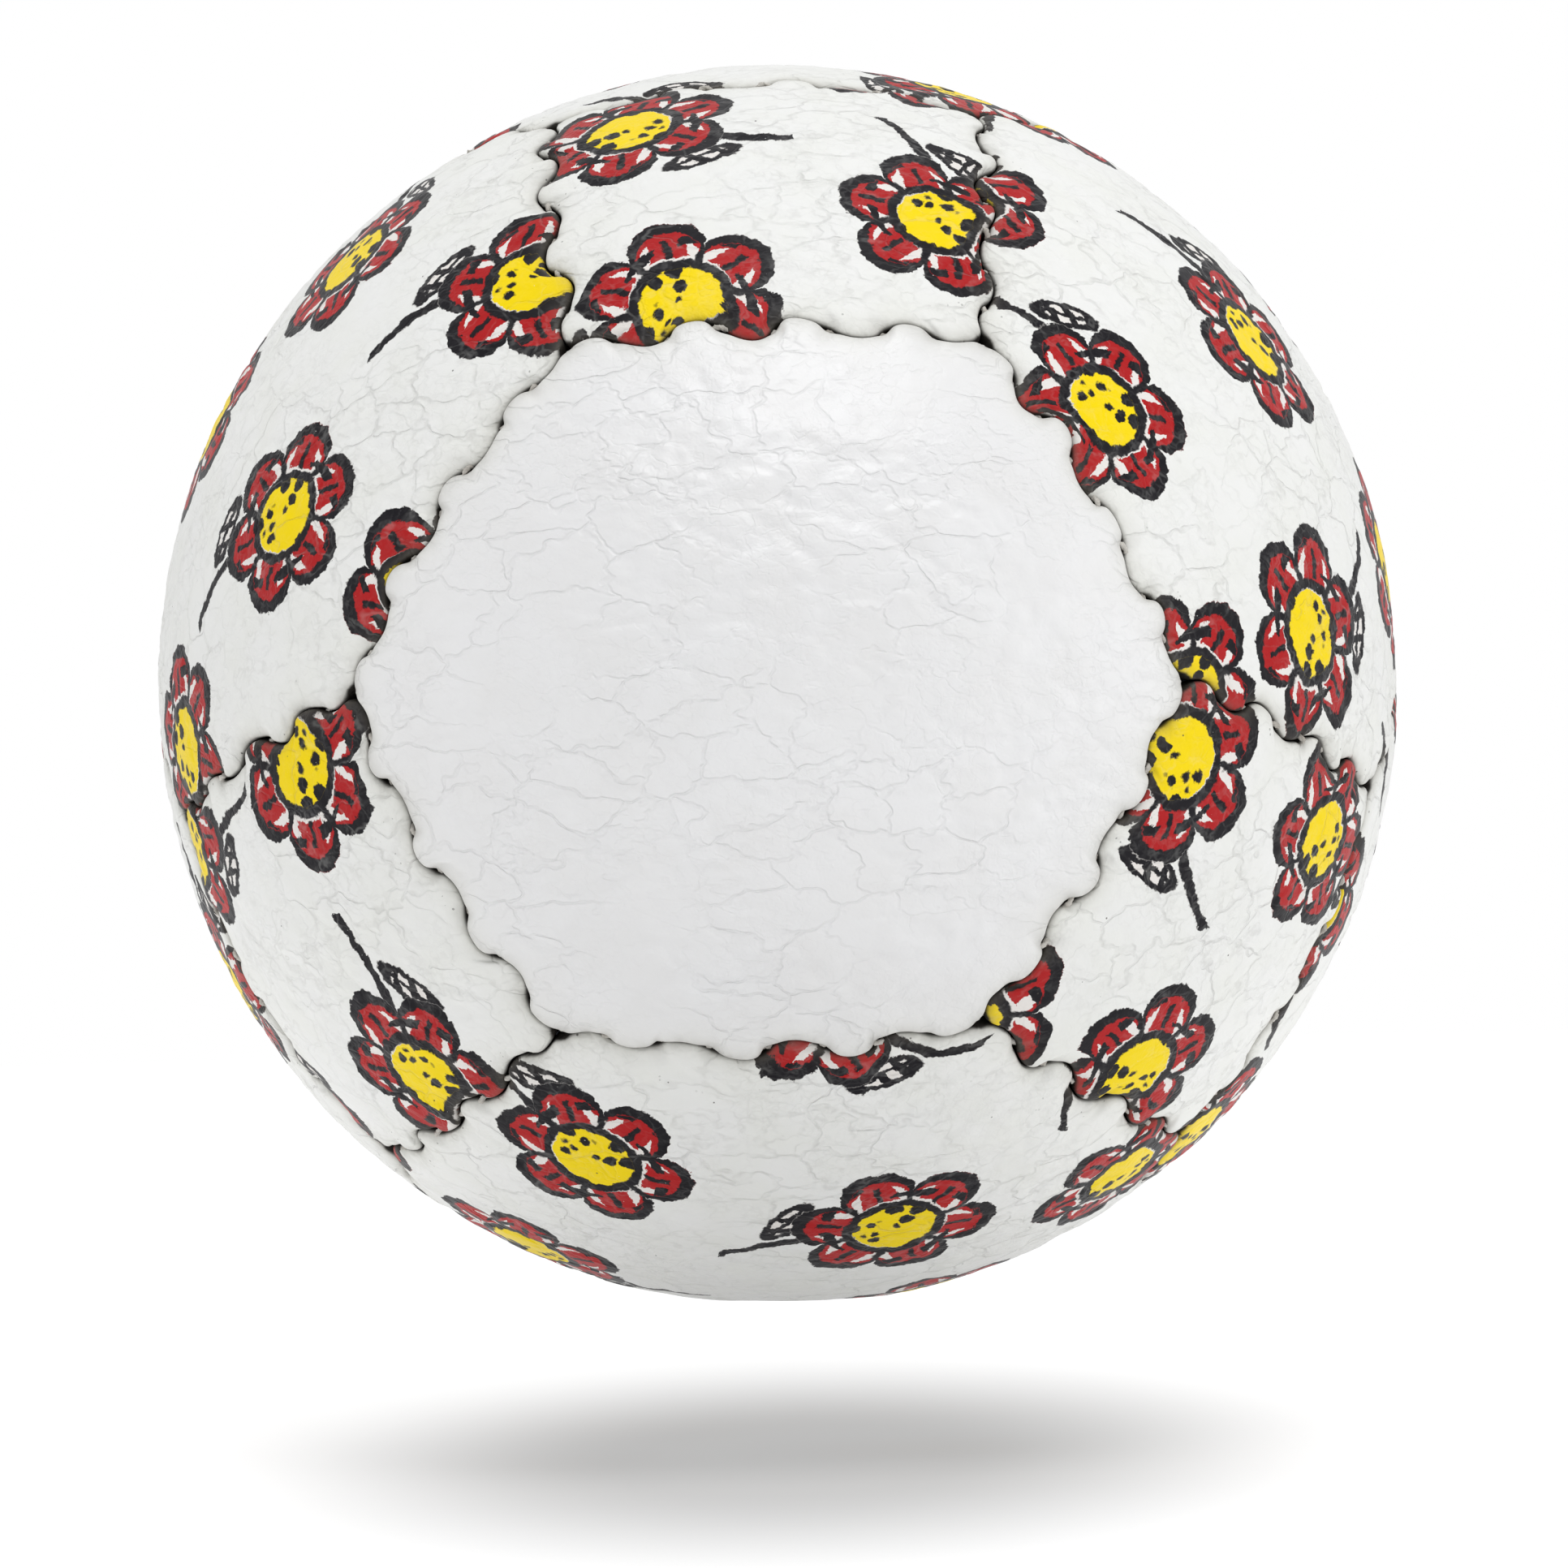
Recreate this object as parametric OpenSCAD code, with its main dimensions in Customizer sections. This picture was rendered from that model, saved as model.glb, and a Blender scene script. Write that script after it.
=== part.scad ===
// A soft stitched training ball of regulation lacrosse size.
// Its cover is eight hexagons and six squares of leather, laid out as a truncated octahedron
// blown up to a sphere. A ladder stitch draws each pair of panels together along their seam, so
// their edges interlock in scallops. A woven bag inside the cover holds a fill of granules.
// The ball stands on the floor, which it settles on with a small flat, and its blank hexagon
// faces -Y.

/* [Ball] */
// Diameter over the leather
ball_d = 63.6; // [62:0.2:66]
// How far the filled ball sinks flat where it rests
settle = 0.5; // [0.3:0.05:0.7]

/* [Leather panels] */
// Thickness of the leather
leather_t = 1.5; // [1.4:0.05:2]
// Open gap between the edges of two neighbouring panels
seam_gap = 0.1; // [0.06:0.01:0.16]

/* [Scalloped seams] */
// Scallops that each panel pushes over each of its seams
scallops = 4; // [3:1:5]
// How far a scallop reaches over the line of the seam
scallop_rise = 0.42; // [0.3:0.02:0.55]
// Straight stretch between two scallops, where the thread crosses the seam
stitch_land = 0.4; // [0.36:0.02:0.6]
// Straight stretch between a corner of the panel and its first scallop
corner_land = 0.8; // [0.6:0.1:1.4]

/* [Rolled edges] */
// Depth of the valley that two rolled edges leave on the line of the seam
valley_depth = 0.35; // [0.25:0.05:0.45]
// Distance from the seam over which an edge rolls down
roll_reach = 1; // [0.8:0.1:1.4]
// Radius of the rolled edge
roll_r = 2; // [1.8:0.1:3]

/* [Seam thread] */
// Thickness of the thread
thread_d = 0.3; // [0.2:0.02:0.3]
// Depth of the thread's centre below the surface of the ball
thread_depth = 1; // [0.95:0.05:1.1]
// Clearance around the thread in the leather
thread_fit = 0.03; // [0.02:0.01:0.03]

/* [Inside] */
// Thickness of the woven inner bag
bag_t = 0.4; // [0.3:0.05:0.8]
// Clearance between the cover and the bag
bag_fit = 0.05; // [0.02:0.01:0.1]
// Clearance between the bag and the fill
fill_fit = 0.05; // [0.02:0.01:0.1]

/* [Hidden] */
$fn = 48;

leather_colour = "whitesmoke";
print_colour = "mistyrose";
thread_colour = "ivory";
bag_colour = "lightsteelblue";
fill_colour = "burlywood";

ball_r = ball_d / 2;
centre_z = ball_r - settle;
cover_inner_r = ball_r - leather_t;
bag_r = cover_inner_r - bag_fit;
fill_r = bag_r - bag_t - fill_fit;
// Far enough to run past the whole ball in any direction
past_ball = 3 * ball_r;

// Shape, place and direction of each panel, in the axes that run through the squares' centres
PANELS = [
    ["hexagon", "front", [1, 1, 1]],
    ["hexagon", "front_left", [1, -1, 1]],
    ["hexagon", "front_right", [-1, 1, 1]],
    ["hexagon", "bottom", [1, 1, -1]],
    ["hexagon", "top", [-1, -1, 1]],
    ["hexagon", "rear_left", [1, -1, -1]],
    ["hexagon", "rear_right", [-1, 1, -1]],
    ["hexagon", "rear", [-1, -1, -1]],
    ["square", "front_top", [0, 0, 1]],
    ["square", "front_left", [1, 0, 0]],
    ["square", "front_right", [0, 1, 0]],
    ["square", "rear_bottom", [0, 0, -1]],
    ["square", "rear_left", [0, -1, 0]],
    ["square", "rear_right", [-1, 0, 0]],
];
last_panel = len(PANELS) - 1;

function unit(v) = v / norm(v);

// The front hexagon's direction turns to -Y, and the square above it stays above it
front = unit([1, 1, 1]);
up = unit([-1, -1, 2]);
right = cross(up, front);
function to_ball_axes(p) = [p * right, -(p * front), p * up];

// A hexagon of the unit solid lies on x + y + z = 3 and a square on z = 2, with their signs.
// Divided so, the difference of two panels' vectors is square to the plane of their seam.
function face_vector(panel) =
    to_ball_axes(panel[2]) / (panel[0] == "hexagon" ? 3 : 2);

// Neighbours' centres are at most 71 degrees apart, and the next nearest are 90
neighbour_angle = 80;
function are_neighbours(a, b) =
    a != b && unit(a[2]) * unit(b[2]) > cos(neighbour_angle);
function neighbours(panel) = [for (other = PANELS) if (are_neighbours(panel, other)) other];
SEAMS = [
    for (i = [0 : last_panel])
        for (j = [i + 1 : 1 : last_panel])
            if (are_neighbours(PANELS[i], PANELS[j])) [PANELS[i], PANELS[j]]
];

// The angle from a panel's middle to its edges, seen from the ball's centre
function edge_angle(panel) = panel[0] == "hexagon" ? atan(sqrt(1 / 2)) : atan(sqrt(1 / 8));
function edges(panel) = panel[0] == "hexagon" ? 6 : 4;

function panel_name(panel) = str(panel[0], "_panel_", panel[1]);
function seam_name(seam) =
    str("thread_", seam[0][0], "_", seam[0][1], "_to_", seam[1][0], "_", seam[1][1]);

// Half the arc of a seam, seen from the centre: a corner is a third as far along as out
half_seam_angle = atan(1 / 3);
corner_angle = corner_land / ball_r * 180 / PI;
stitches = 2 * scallops;
stitch_angle = 2 * (half_seam_angle - corner_angle) / stitches;
// Where the thread crosses the seam, along it from its middle
function crossing(i) = ball_r * sin((i - scallops) * stitch_angle);

// A scallop is an arc whose chord is the seam's line between two stitch lands
function scallop_middle(i) = (crossing(i) + crossing(i + 1)) / 2;
function half_chord(i) = (crossing(i + 1) - crossing(i) - stitch_land) / 2;
function scallop_r(i) =
    (pow(half_chord(i), 2) + pow(scallop_rise, 2)) / (2 * scallop_rise);
function scallop_inset(i) = scallop_r(i) - scallop_rise;

// The rolled edge's arc, as [distance from the seam's axis, distance from the seam's plane].
// It starts at the bottom of the valley and ends where it meets the sphere.
roll_start = [ball_r - valley_depth, 0];
roll_end = [sqrt(pow(ball_r, 2) - pow(roll_reach, 2)), roll_reach];
roll_chord = roll_end - roll_start;
roll_inward = [-roll_chord[1], roll_chord[0]] / norm(roll_chord);
roll_centre = (roll_start + roll_end) / 2
    + roll_inward * sqrt(pow(roll_r, 2) - pow(norm(roll_chord) / 2, 2));

// A ladder stitch is half a ring in the leather, from one crossing of the seam to the next
thread_r = thread_d / 2;
tunnel_r = thread_r + thread_fit;
thread_line_r = ball_r - thread_depth;
function crossing_angle(i) = asin(crossing(i) / thread_line_r);
function ring_turn(i) = (crossing_angle(i) + crossing_angle(i + 1)) / 2;
function ring_half_angle(i) = (crossing_angle(i + 1) - crossing_angle(i)) / 2;
// Over the open gap no leather squeezes the thread, and it swells
swell_r = thread_r + thread_fit / 2;
swell_length = 2 * seam_gap;

// A panel's own axes: towards a neighbour, to the side of that, and outwards
function panel_axes(panel) =
    let (
        outward = unit(face_vector(panel)),
        side = unit(cross(outward, face_vector(neighbours(panel)[0])))
    )
    [cross(side, outward), side, outward];

// Down in the axes of the panel that the ball settles on, and none for the others
function down_on(panel) =
    panel[1] == "bottom" ? [for (axis = panel_axes(panel)) -axis[2]] : false;

// Puts a shape about the ball's centre on a panel, with z outwards
module on_panel(panel) {
    axes = panel_axes(panel);
    translate([0, 0, centre_z])
        multmatrix([for (i = [0 : 2]) [for (axis = axes) axis[i]]])
            children();
}

// Puts a shape on the seam between two panels: x along the seam, y towards panel a, z outwards
module on_seam(a, b) {
    inward = unit(face_vector(a) - face_vector(b));
    along = unit(cross(face_vector(a), face_vector(b)));
    outward = cross(along, inward);
    translate([0, 0, centre_z])
        multmatrix([for (i = [0 : 2]) [along[i], inward[i], outward[i]]])
            children();
}

// Puts a shape on one edge of a panel that faces +z: x along the edge, y towards the middle
module on_edge(i, sides, angle) {
    rotate([0, angle, i * 360 / sides]) rotate([0, 0, 90]) children();
}

// A ball of some radius about the centre. Its poles are turned to where no panel that faces +z
// has them. Where down is given, it has the flat that it settles on.
module ball(r, down) {
    intersection() {
        rotate([90, 0, 0]) sphere(r);
        if (down)
            rotate([0, acos(down[2]), atan2(down[1], down[0])])
                translate([-past_ball / 2, -past_ball / 2, r - settle - past_ball])
                    cube(past_ball);
    }
}

// One panel's side of a seam, seen from outside: straight lands and its own scallops reach the
// seam, and the neighbour's scallops bite into it
module scalloped_side() {
    difference() {
        union() {
            translate([-past_ball / 2, seam_gap / 2]) square(past_ball);
            for (i = [1 : 2 : stitches - 1])
                translate([scallop_middle(i), scallop_inset(i)])
                    circle(scallop_r(i) - seam_gap / 2);
        }
        for (i = [0 : 2 : stitches - 2])
            translate([scallop_middle(i), -scallop_inset(i)])
                circle(scallop_r(i) + seam_gap / 2);
    }
}

// What the rolled edge leaves along a seam: a body of revolution about the seam's axis
module rolled_side() {
    rotate([-90, 0, 0]) rotate_extrude() {
        translate([0, roll_centre[1] - roll_r]) square([roll_centre[0], past_ball]);
        translate([0, roll_centre[1]]) square(past_ball);
        translate(roll_centre) circle(roll_r);
    }
}

// A seam's half rings on its +y side, which are the odd ones, or on its -y side
module half_rings(plus_side, tube_r) {
    for (i = [plus_side ? 1 : 0 : 2 : stitches - 1])
        rotate([0, ring_turn(i), 0])
            translate([0, 0, thread_line_r * cos(ring_half_angle(i))])
                rotate([0, 0, plus_side ? 0 : 180])
                    rotate_extrude(angle = 180)
                        translate([thread_line_r * sin(ring_half_angle(i)), 0])
                            circle(tube_r);
}

// The cover as a whole, about the ball's centre
module cover(down) {
    difference() {
        ball(ball_r, down);
        ball(cover_inner_r, down);
    }
}

// The cover, cut along a panel's edges from the given one down to its first
module cut_cover(i, sides, angle, down) {
    if (i < 0) cover(down);
    else intersection() {
        cut_cover(i - 1, sides, angle, down);
        on_edge(i, sides, angle) intersection() {
            linear_extrude(past_ball) scalloped_side();
            rolled_side();
        }
    }
}

// A panel about the ball's centre, facing +z
module leather_panel(sides, angle, down) {
    difference() {
        cut_cover(sides - 1, sides, angle, down);
        for (i = [0 : sides - 1])
            on_edge(i, sides, angle) half_rings(true, tunnel_r);
    }
}

module seam_thread() {
    union() {
        half_rings(true, thread_r);
        for (i = [0 : stitches])
            rotate([0, crossing_angle(i), 0]) translate([0, 0, thread_line_r])
                rotate([90, 0, 0])
                    cylinder(h = swell_length, r = swell_r, center = true);
    }
    half_rings(false, thread_r);
}

// A whole ball inside the cover, with a pole in the middle of its flat
module inner_ball(r) {
    translate([0, 0, centre_z]) rotate([90, 0, 0]) ball(r, [0, -1, 0]);
}

module inner_bag() {
    difference() {
        inner_ball(bag_r);
        inner_ball(bag_r - bag_t);
    }
}

module granule_fill() {
    inner_ball(fill_r);
}

for (panel = PANELS)
    color(panel[1] == "front" ? leather_colour : print_colour)
            on_panel(panel) leather_panel(edges(panel), edge_angle(panel), down_on(panel));
for (seam = SEAMS)
    color(thread_colour) on_seam(seam[0], seam[1]) seam_thread();
color(bag_colour) inner_bag();
color(fill_colour) granule_fill();
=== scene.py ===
import logging
import math
from dataclasses import dataclass, field, fields
from enum import Enum
from functools import cache
from itertools import combinations
from typing import Iterable, Iterator

import bpy
import numpy as np
from mathutils import Matrix, Vector


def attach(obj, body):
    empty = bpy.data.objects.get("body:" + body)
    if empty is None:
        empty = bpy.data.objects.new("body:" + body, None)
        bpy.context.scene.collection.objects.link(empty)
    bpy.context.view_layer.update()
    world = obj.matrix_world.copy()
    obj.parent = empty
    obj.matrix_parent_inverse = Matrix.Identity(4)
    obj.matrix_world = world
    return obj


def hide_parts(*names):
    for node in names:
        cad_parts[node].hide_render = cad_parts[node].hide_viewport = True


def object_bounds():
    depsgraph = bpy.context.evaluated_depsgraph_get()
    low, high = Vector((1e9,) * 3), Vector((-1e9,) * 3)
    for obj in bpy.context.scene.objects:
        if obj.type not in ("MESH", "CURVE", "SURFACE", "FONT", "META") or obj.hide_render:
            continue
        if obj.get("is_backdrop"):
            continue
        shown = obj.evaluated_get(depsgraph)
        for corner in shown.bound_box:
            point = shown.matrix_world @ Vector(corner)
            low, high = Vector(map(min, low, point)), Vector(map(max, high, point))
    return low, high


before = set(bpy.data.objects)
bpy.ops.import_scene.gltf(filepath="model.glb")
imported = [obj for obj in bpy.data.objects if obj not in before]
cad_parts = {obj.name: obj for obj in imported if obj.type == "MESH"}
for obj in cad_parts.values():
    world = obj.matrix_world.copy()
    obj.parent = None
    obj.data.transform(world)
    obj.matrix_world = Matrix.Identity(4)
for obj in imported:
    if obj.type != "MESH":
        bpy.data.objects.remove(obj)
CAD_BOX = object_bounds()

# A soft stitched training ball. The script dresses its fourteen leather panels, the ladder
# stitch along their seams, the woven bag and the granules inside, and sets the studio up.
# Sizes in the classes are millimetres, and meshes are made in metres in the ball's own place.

LOG = logging.getLogger("stitched_ball")
MM = 0.001
BODY = "root"
TURN = 2 * math.pi
ORIGIN = (0.0, 0.0, 0.0)
Colour = tuple[float, float, float]


class Kind(Enum):
    """The kinds of socket that a node group can have."""

    GEOMETRY = "NodeSocketGeometry"
    MATERIAL = "NodeSocketMaterial"
    COLOUR = "NodeSocketColor"
    NUMBER = "NodeSocketFloat"
    WHOLE = "NodeSocketInt"
    VECTOR = "NodeSocketVector"


KIND_OF_VALUE = {float: Kind.NUMBER, int: Kind.WHOLE, tuple: Kind.VECTOR}


class Wire:
    """A value on its way through a node tree, which formulas can be written with."""

    def __init__(self, board: "Board", socket: bpy.types.NodeSocket) -> None:
        """Args: board: The tree that the value is in. socket: The output that gives it."""
        self.board, self.socket = board, socket

    @property
    def is_vector(self) -> bool:
        """Whether the value has three parts."""
        return self.socket.type in {"VECTOR", "RGBA"}

    def combined(self, operation: str, *others: object) -> "Wire":
        """The result of a Math or Vector Math node on this value and others."""
        if self.is_vector or any(isinstance(o, Wire) and o.is_vector for o in others):
            return self.board.vector(operation, self, *others)
        return self.board.math(operation, self, *others)

    def __add__(self, other: object) -> "Wire":
        """This plus another."""
        return self.combined("ADD", other)

    def __sub__(self, other: object) -> "Wire":
        """This less another."""
        return self.combined("SUBTRACT", other)

    def __rsub__(self, other: float) -> "Wire":
        """A number less this."""
        return self.board.math("SUBTRACT", other, self)

    def __mul__(self, other: object) -> "Wire":
        """This times another, which scales a vector where it is a number."""
        if self.is_vector and not isinstance(other, tuple):
            if not (isinstance(other, Wire) and other.is_vector):
                return self.board.vector("SCALE", self, scale=other)
        elif isinstance(other, Wire) and other.is_vector:
            return other * self
        return self.combined("MULTIPLY", other)

    def __truediv__(self, other: object) -> "Wire":
        """This divided by another."""
        return self.combined("DIVIDE", other)

    def __neg__(self) -> "Wire":
        """This with its sign turned."""
        return self * -1.0

    __radd__, __rmul__ = __add__, __mul__

    def power(self, exponent: float) -> "Wire":
        """This raised to a power."""
        return self.board.math("POWER", self, exponent)

    def wave(self, name: str = "SINE") -> "Wire":
        """The sine or cosine of this angle."""
        return self.board.math(name, self)

    def size(self) -> "Wire":
        """A number without its sign, or a vector's length."""
        return self.combined("LENGTH") if self.is_vector else self.combined("ABSOLUTE")

    def fall(self, reach: object) -> "Wire":
        """What is left of 1 after this distance, where a reach leaves 1 / e of it."""
        return self.board.math("EXPONENT", -self / reach)

    def hump(self, reach: object) -> "Wire":
        """A bell that is 1 where this is 0 and 1 / e where it is one reach."""
        return self.board.math("EXPONENT", -((self / reach).power(2.0)))

    def least(self, other: object) -> "Wire":
        """The smaller of the two."""
        return self.board.math("MINIMUM", self, other)

    def most(self, other: object) -> "Wire":
        """The larger of the two."""
        return self.board.math("MAXIMUM", self, other)

    def over(self, other: object) -> "Wire":
        """1 where this is the larger, and else 0."""
        return self.board.math("GREATER_THAN", self, other)

    def ramp(self, low: float, high: float, start: float = 0.0, end: float = 1.0) -> "Wire":
        """Runs smoothly from start to end as this runs from low to high."""
        takes = {"Value": self, "From Min": low, "From Max": high, "To Min": start, "To Max": end}
        return self.board.made("ShaderNodeMapRange", takes, interpolation_type="SMOOTHSTEP")

    def unit(self) -> "Wire":
        """This vector with length 1."""
        return self.combined("NORMALIZE")

    def parts(self) -> list["Wire"]:
        """A vector's x, y and z."""
        node = self.board.add("ShaderNodeSeparateXYZ", {0: self})
        return [Wire(self.board, s) for s in node.outputs]


class Board:
    """A node tree being wired up."""

    def __init__(self, tree: bpy.types.NodeTree) -> None:
        """Args: tree: The tree."""
        self.tree, self.takes = tree, {}

    @classmethod
    def group(
        cls, name: str, takes: dict, gives: dict[str, Kind], kind: str = "ShaderNodeTree"
    ) -> "Board":
        """Starts a node group.

        Args:
            name: The group's name.
            takes: The inputs by name, each a default value or a Kind.
            gives: The outputs by name.
            kind: ShaderNodeTree or GeometryNodeTree.

        Returns:
            The board, whose takes are the inputs' wires.
        """
        tree = bpy.data.node_groups.new(name, kind)
        for label, value in takes.items():
            of = value if isinstance(value, Kind) else KIND_OF_VALUE[type(value)]
            made = tree.interface.new_socket(name=label, in_out="INPUT", socket_type=of.value)
            if value is not of:
                made.default_value = value
        for label, of in gives.items():
            tree.interface.new_socket(name=label, in_out="OUTPUT", socket_type=of.value)
        board = cls(tree)
        start = tree.nodes.new("NodeGroupInput")
        board.takes = {s.name: Wire(board, s) for s in start.outputs if s.name}
        return board

    @classmethod
    def for_mesh(cls, name: str, takes: dict) -> "Board":
        """Starts a geometry tree, which takes a mesh, its own inputs and a material."""
        takes = {"Geometry": Kind.GEOMETRY, **takes, "Material": Kind.MATERIAL}
        return cls.group(name, takes, {"Geometry": Kind.GEOMETRY}, "GeometryNodeTree")

    def feed(self, socket: bpy.types.NodeSocket, value: object) -> None:
        """Links a wire to a socket, or sets the socket's own value."""
        if isinstance(value, Wire):
            self.tree.links.new(value.socket, socket)
        elif socket.type == "VECTOR" and isinstance(value, (int, float)):
            socket.default_value = (value,) * 3
        else:
            socket.default_value = value

    def own(self, kind: str) -> bpy.types.Node:
        """The node of a type that a new tree comes with."""
        return next(n for n in self.tree.nodes if n.type == kind)

    def give(self, **results: Wire) -> bpy.types.NodeTree:
        """Wires the group's outputs up, in which an underscore stands for a space."""
        end = self.tree.nodes.new("NodeGroupOutput")
        for label, wire in results.items():
            self.feed(end.inputs[label.replace("_", " ")], wire)
        return self.tree

    def add(self, kind: str, takes: dict | None = None, **settings: object) -> bpy.types.Node:
        """Adds a node.

        Args:
            kind: The node's type.
            takes: What goes into its sockets, by name or number.
            settings: The node's own properties.

        Returns:
            The node.
        """
        node = self.tree.nodes.new(kind)
        for name, value in settings.items():
            setattr(node, name, value)
        for key, value in (takes or {}).items():
            by_name = (s for s in node.inputs if s.enabled and s.name == key)
            self.feed(node.inputs[key] if isinstance(key, int) else next(by_name), value)
        return node

    def out(self, node: bpy.types.Node, name: str = "") -> Wire:
        """One output of a node, by name, or the first that is in use."""
        return Wire(self, next(s for s in node.outputs if s.enabled and name in ("", s.name)))

    def made(self, kind: str, takes: dict | None = None, **settings: object) -> Wire:
        """Adds a node, and gives its first output that is in use."""
        return self.out(self.add(kind, takes, **settings))

    def math(self, operation: str, *values: object) -> Wire:
        """The result of a Math node."""
        return self.made("ShaderNodeMath", dict(enumerate(values)), operation=operation)

    def vector(self, operation: str, *values: object, scale: object = None) -> Wire:
        """The result of a Vector Math node."""
        takes = dict(enumerate(values)) | ({} if scale is None else {"Scale": scale})
        return self.made("ShaderNodeVectorMath", takes, operation=operation)

    def join(self, x: object, y: object, z: object = 0.0) -> Wire:
        """A vector from its parts."""
        return self.made("ShaderNodeCombineXYZ", {0: x, 1: y, 2: z})

    def noise(
        self,
        place: Wire,
        cell: float,
        detail: float = 0.0,
        rough: float = 0.5,
        threefold: bool = False,
    ) -> Wire:
        """Soft noise.

        Args:
            place: Where it is read, in mm.
            cell: The size of its largest lumps, in mm.
            detail: How many finer layers it has.
            rough: How strong those are.
            threefold: Whether it is a vector of three noises.

        Returns:
            The noise about 0, from about -1 to 1.
        """
        takes = {"Vector": place, "Scale": 1 / cell, "Detail": detail, "Roughness": rough}
        node = self.add("ShaderNodeTexNoise", takes)
        if threefold:
            return self.out(node, "Color") * 2.0 - (1.0, 1.0, 1.0)
        return self.out(node) * 2.0 - 1.0

    def cells(self, place: Wire, cell: float, feature: str = "F1") -> list[Wire]:
        """Irregular cells of some size.

        Args:
            place: Where they are read, in mm.
            cell: Their size, in mm.
            feature: F1 or DISTANCE_TO_EDGE.

        Returns:
            How far it is to the middle of the cell or to its edge, in cells. With F1 the cell's
            own colour comes next.
        """
        takes = {"Vector": place, "Scale": 1 / cell}
        node = self.add("ShaderNodeTexVoronoi", takes, feature=feature)
        return [Wire(self, s) for s in node.outputs if s.enabled]

    def blend(self, share: object, a: object, b: object) -> Wire:
        """Goes from number a to number b with share."""
        return self.made("ShaderNodeMix", {"Factor": share, "A": a, "B": b})

    def tint(self, share: object, a: Wire | Colour, b: Wire | Colour) -> Wire:
        """Goes from colour a to colour b with share."""
        a, b = (c if isinstance(c, Wire) else (*c, 1.0) for c in (a, b))
        return self.made("ShaderNodeMix", {"Factor": share, "A": a, "B": b}, data_type="RGBA")

    def read(self, name: str, kind: str = "FLOAT") -> Wire:
        """A named attribute: a number, or in a geometry tree what kind says."""
        if self.tree.type == "SHADER":
            return self.out(self.add("ShaderNodeAttribute", attribute_name=name), "Fac")
        return self.made("GeometryNodeInputNamedAttribute", {"Name": name}, data_type=kind)

    def place(self, group: bpy.types.NodeTree, takes: dict) -> dict[str, Wire]:
        """Puts a group into this tree.

        Args:
            group: The group.
            takes: What goes into its inputs, by name.

        Returns:
            Its outputs by name.
        """
        kind = "GeometryNodeGroup" if self.tree.type == "GEOMETRY" else "ShaderNodeGroup"
        node = self.add(kind, takes, node_tree=group)
        return {s.name: Wire(self, s) for s in node.outputs}

    def here(self) -> Wire:
        """The place of each point, in a geometry tree."""
        return self.made("GeometryNodeInputPosition")

    def random(self, low: object, high: object, seed: Wire) -> Wire:
        """A random number for each point from low to high, or a vector where these are."""
        takes = {"Min": low, "Max": high, "Seed": seed}
        kind = "FLOAT_VECTOR" if isinstance(low, tuple) else "FLOAT"
        return self.made("FunctionNodeRandomValue", takes, data_type=kind)

    def moved(self, mesh: Wire, place: Wire) -> Wire:
        """A mesh whose points are put at a place in mm."""
        return self.made("GeometryNodeSetPosition", {"Geometry": mesh, "Position": place * MM})

    def joined(self, *meshes: Wire) -> Wire:
        """Several meshes as one."""
        node = self.add("GeometryNodeJoinGeometry")
        for mesh in meshes:
            self.feed(node.inputs[0], mesh)
        return self.out(node)

    def finish_mesh(self, mesh: Wire) -> bpy.types.NodeTree:
        """Ends a geometry tree: real faces, smooth, in the material that the tree takes."""
        mesh = self.made("GeometryNodeSetShadeSmooth", {"Geometry": mesh})
        mesh = self.made("GeometryNodeRealizeInstances", {"Geometry": mesh})
        takes = {"Geometry": mesh, "Material": self.takes["Material"]}
        return self.give(Geometry=self.made("GeometryNodeSetMaterial", takes))


def inputs_of(sizes: object, *names: str) -> dict[str, object]:
    """A dataclass's sizes as inputs of a tree.

    Args:
        sizes: The dataclass.
        names: The fields, or none for all of them.

    Returns:
        Their values, each under its field's name in capitalised words.
    """
    names = names or tuple(f.name for f in fields(sizes))
    return {name.replace("_", " ").title(): getattr(sizes, name) for name in names}


def formed(
    obj: bpy.types.Object, tree: bpy.types.NodeTree, takes: dict, keep: Iterable[str] = ()
) -> None:
    """Runs a geometry tree on an object and keeps the result as its plain mesh.

    Args:
        obj: The object.
        tree: The tree.
        takes: What goes into the tree's inputs, by name.
        keep: The attributes that the finish reads.
    """
    modifier = obj.modifiers.new(tree.name, "NODES")
    modifier.node_group = tree
    for socket in tree.interface.items_tree:
        if socket.in_out == "INPUT" and socket.name in takes:
            modifier[socket.identifier] = takes[socket.name]
    graph = bpy.context.evaluated_depsgraph_get()
    made = bpy.data.meshes.new_from_object(
        obj.evaluated_get(graph), preserve_all_data_layers=True, depsgraph=graph
    )
    obj.modifiers.clear()
    blank, obj.data = obj.data, made
    bpy.data.meshes.remove(blank)
    made.name = obj.name
    known = {"position", "sharp_face", *keep}
    for name in [a.name for a in made.attributes if a.name not in known and a.domain == "POINT"]:
        made.attributes.remove(made.attributes[name])


def to_scene(name: str, data: bpy.types.ID) -> bpy.types.Object:
    """A new object with a mesh, lamp or camera, in the scene."""
    obj = bpy.data.objects.new(name, data)
    bpy.context.scene.collection.objects.link(obj)
    return obj


def new_object(
    name: str, points: np.ndarray, faces: Iterable = (), edges: Iterable = ()
) -> bpy.types.Object:
    """A mesh object at the origin, in the scene."""
    mesh = bpy.data.meshes.new(name)
    mesh.from_pydata(points.tolist(), list(edges), list(faces))
    return to_scene(name, mesh)


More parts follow.
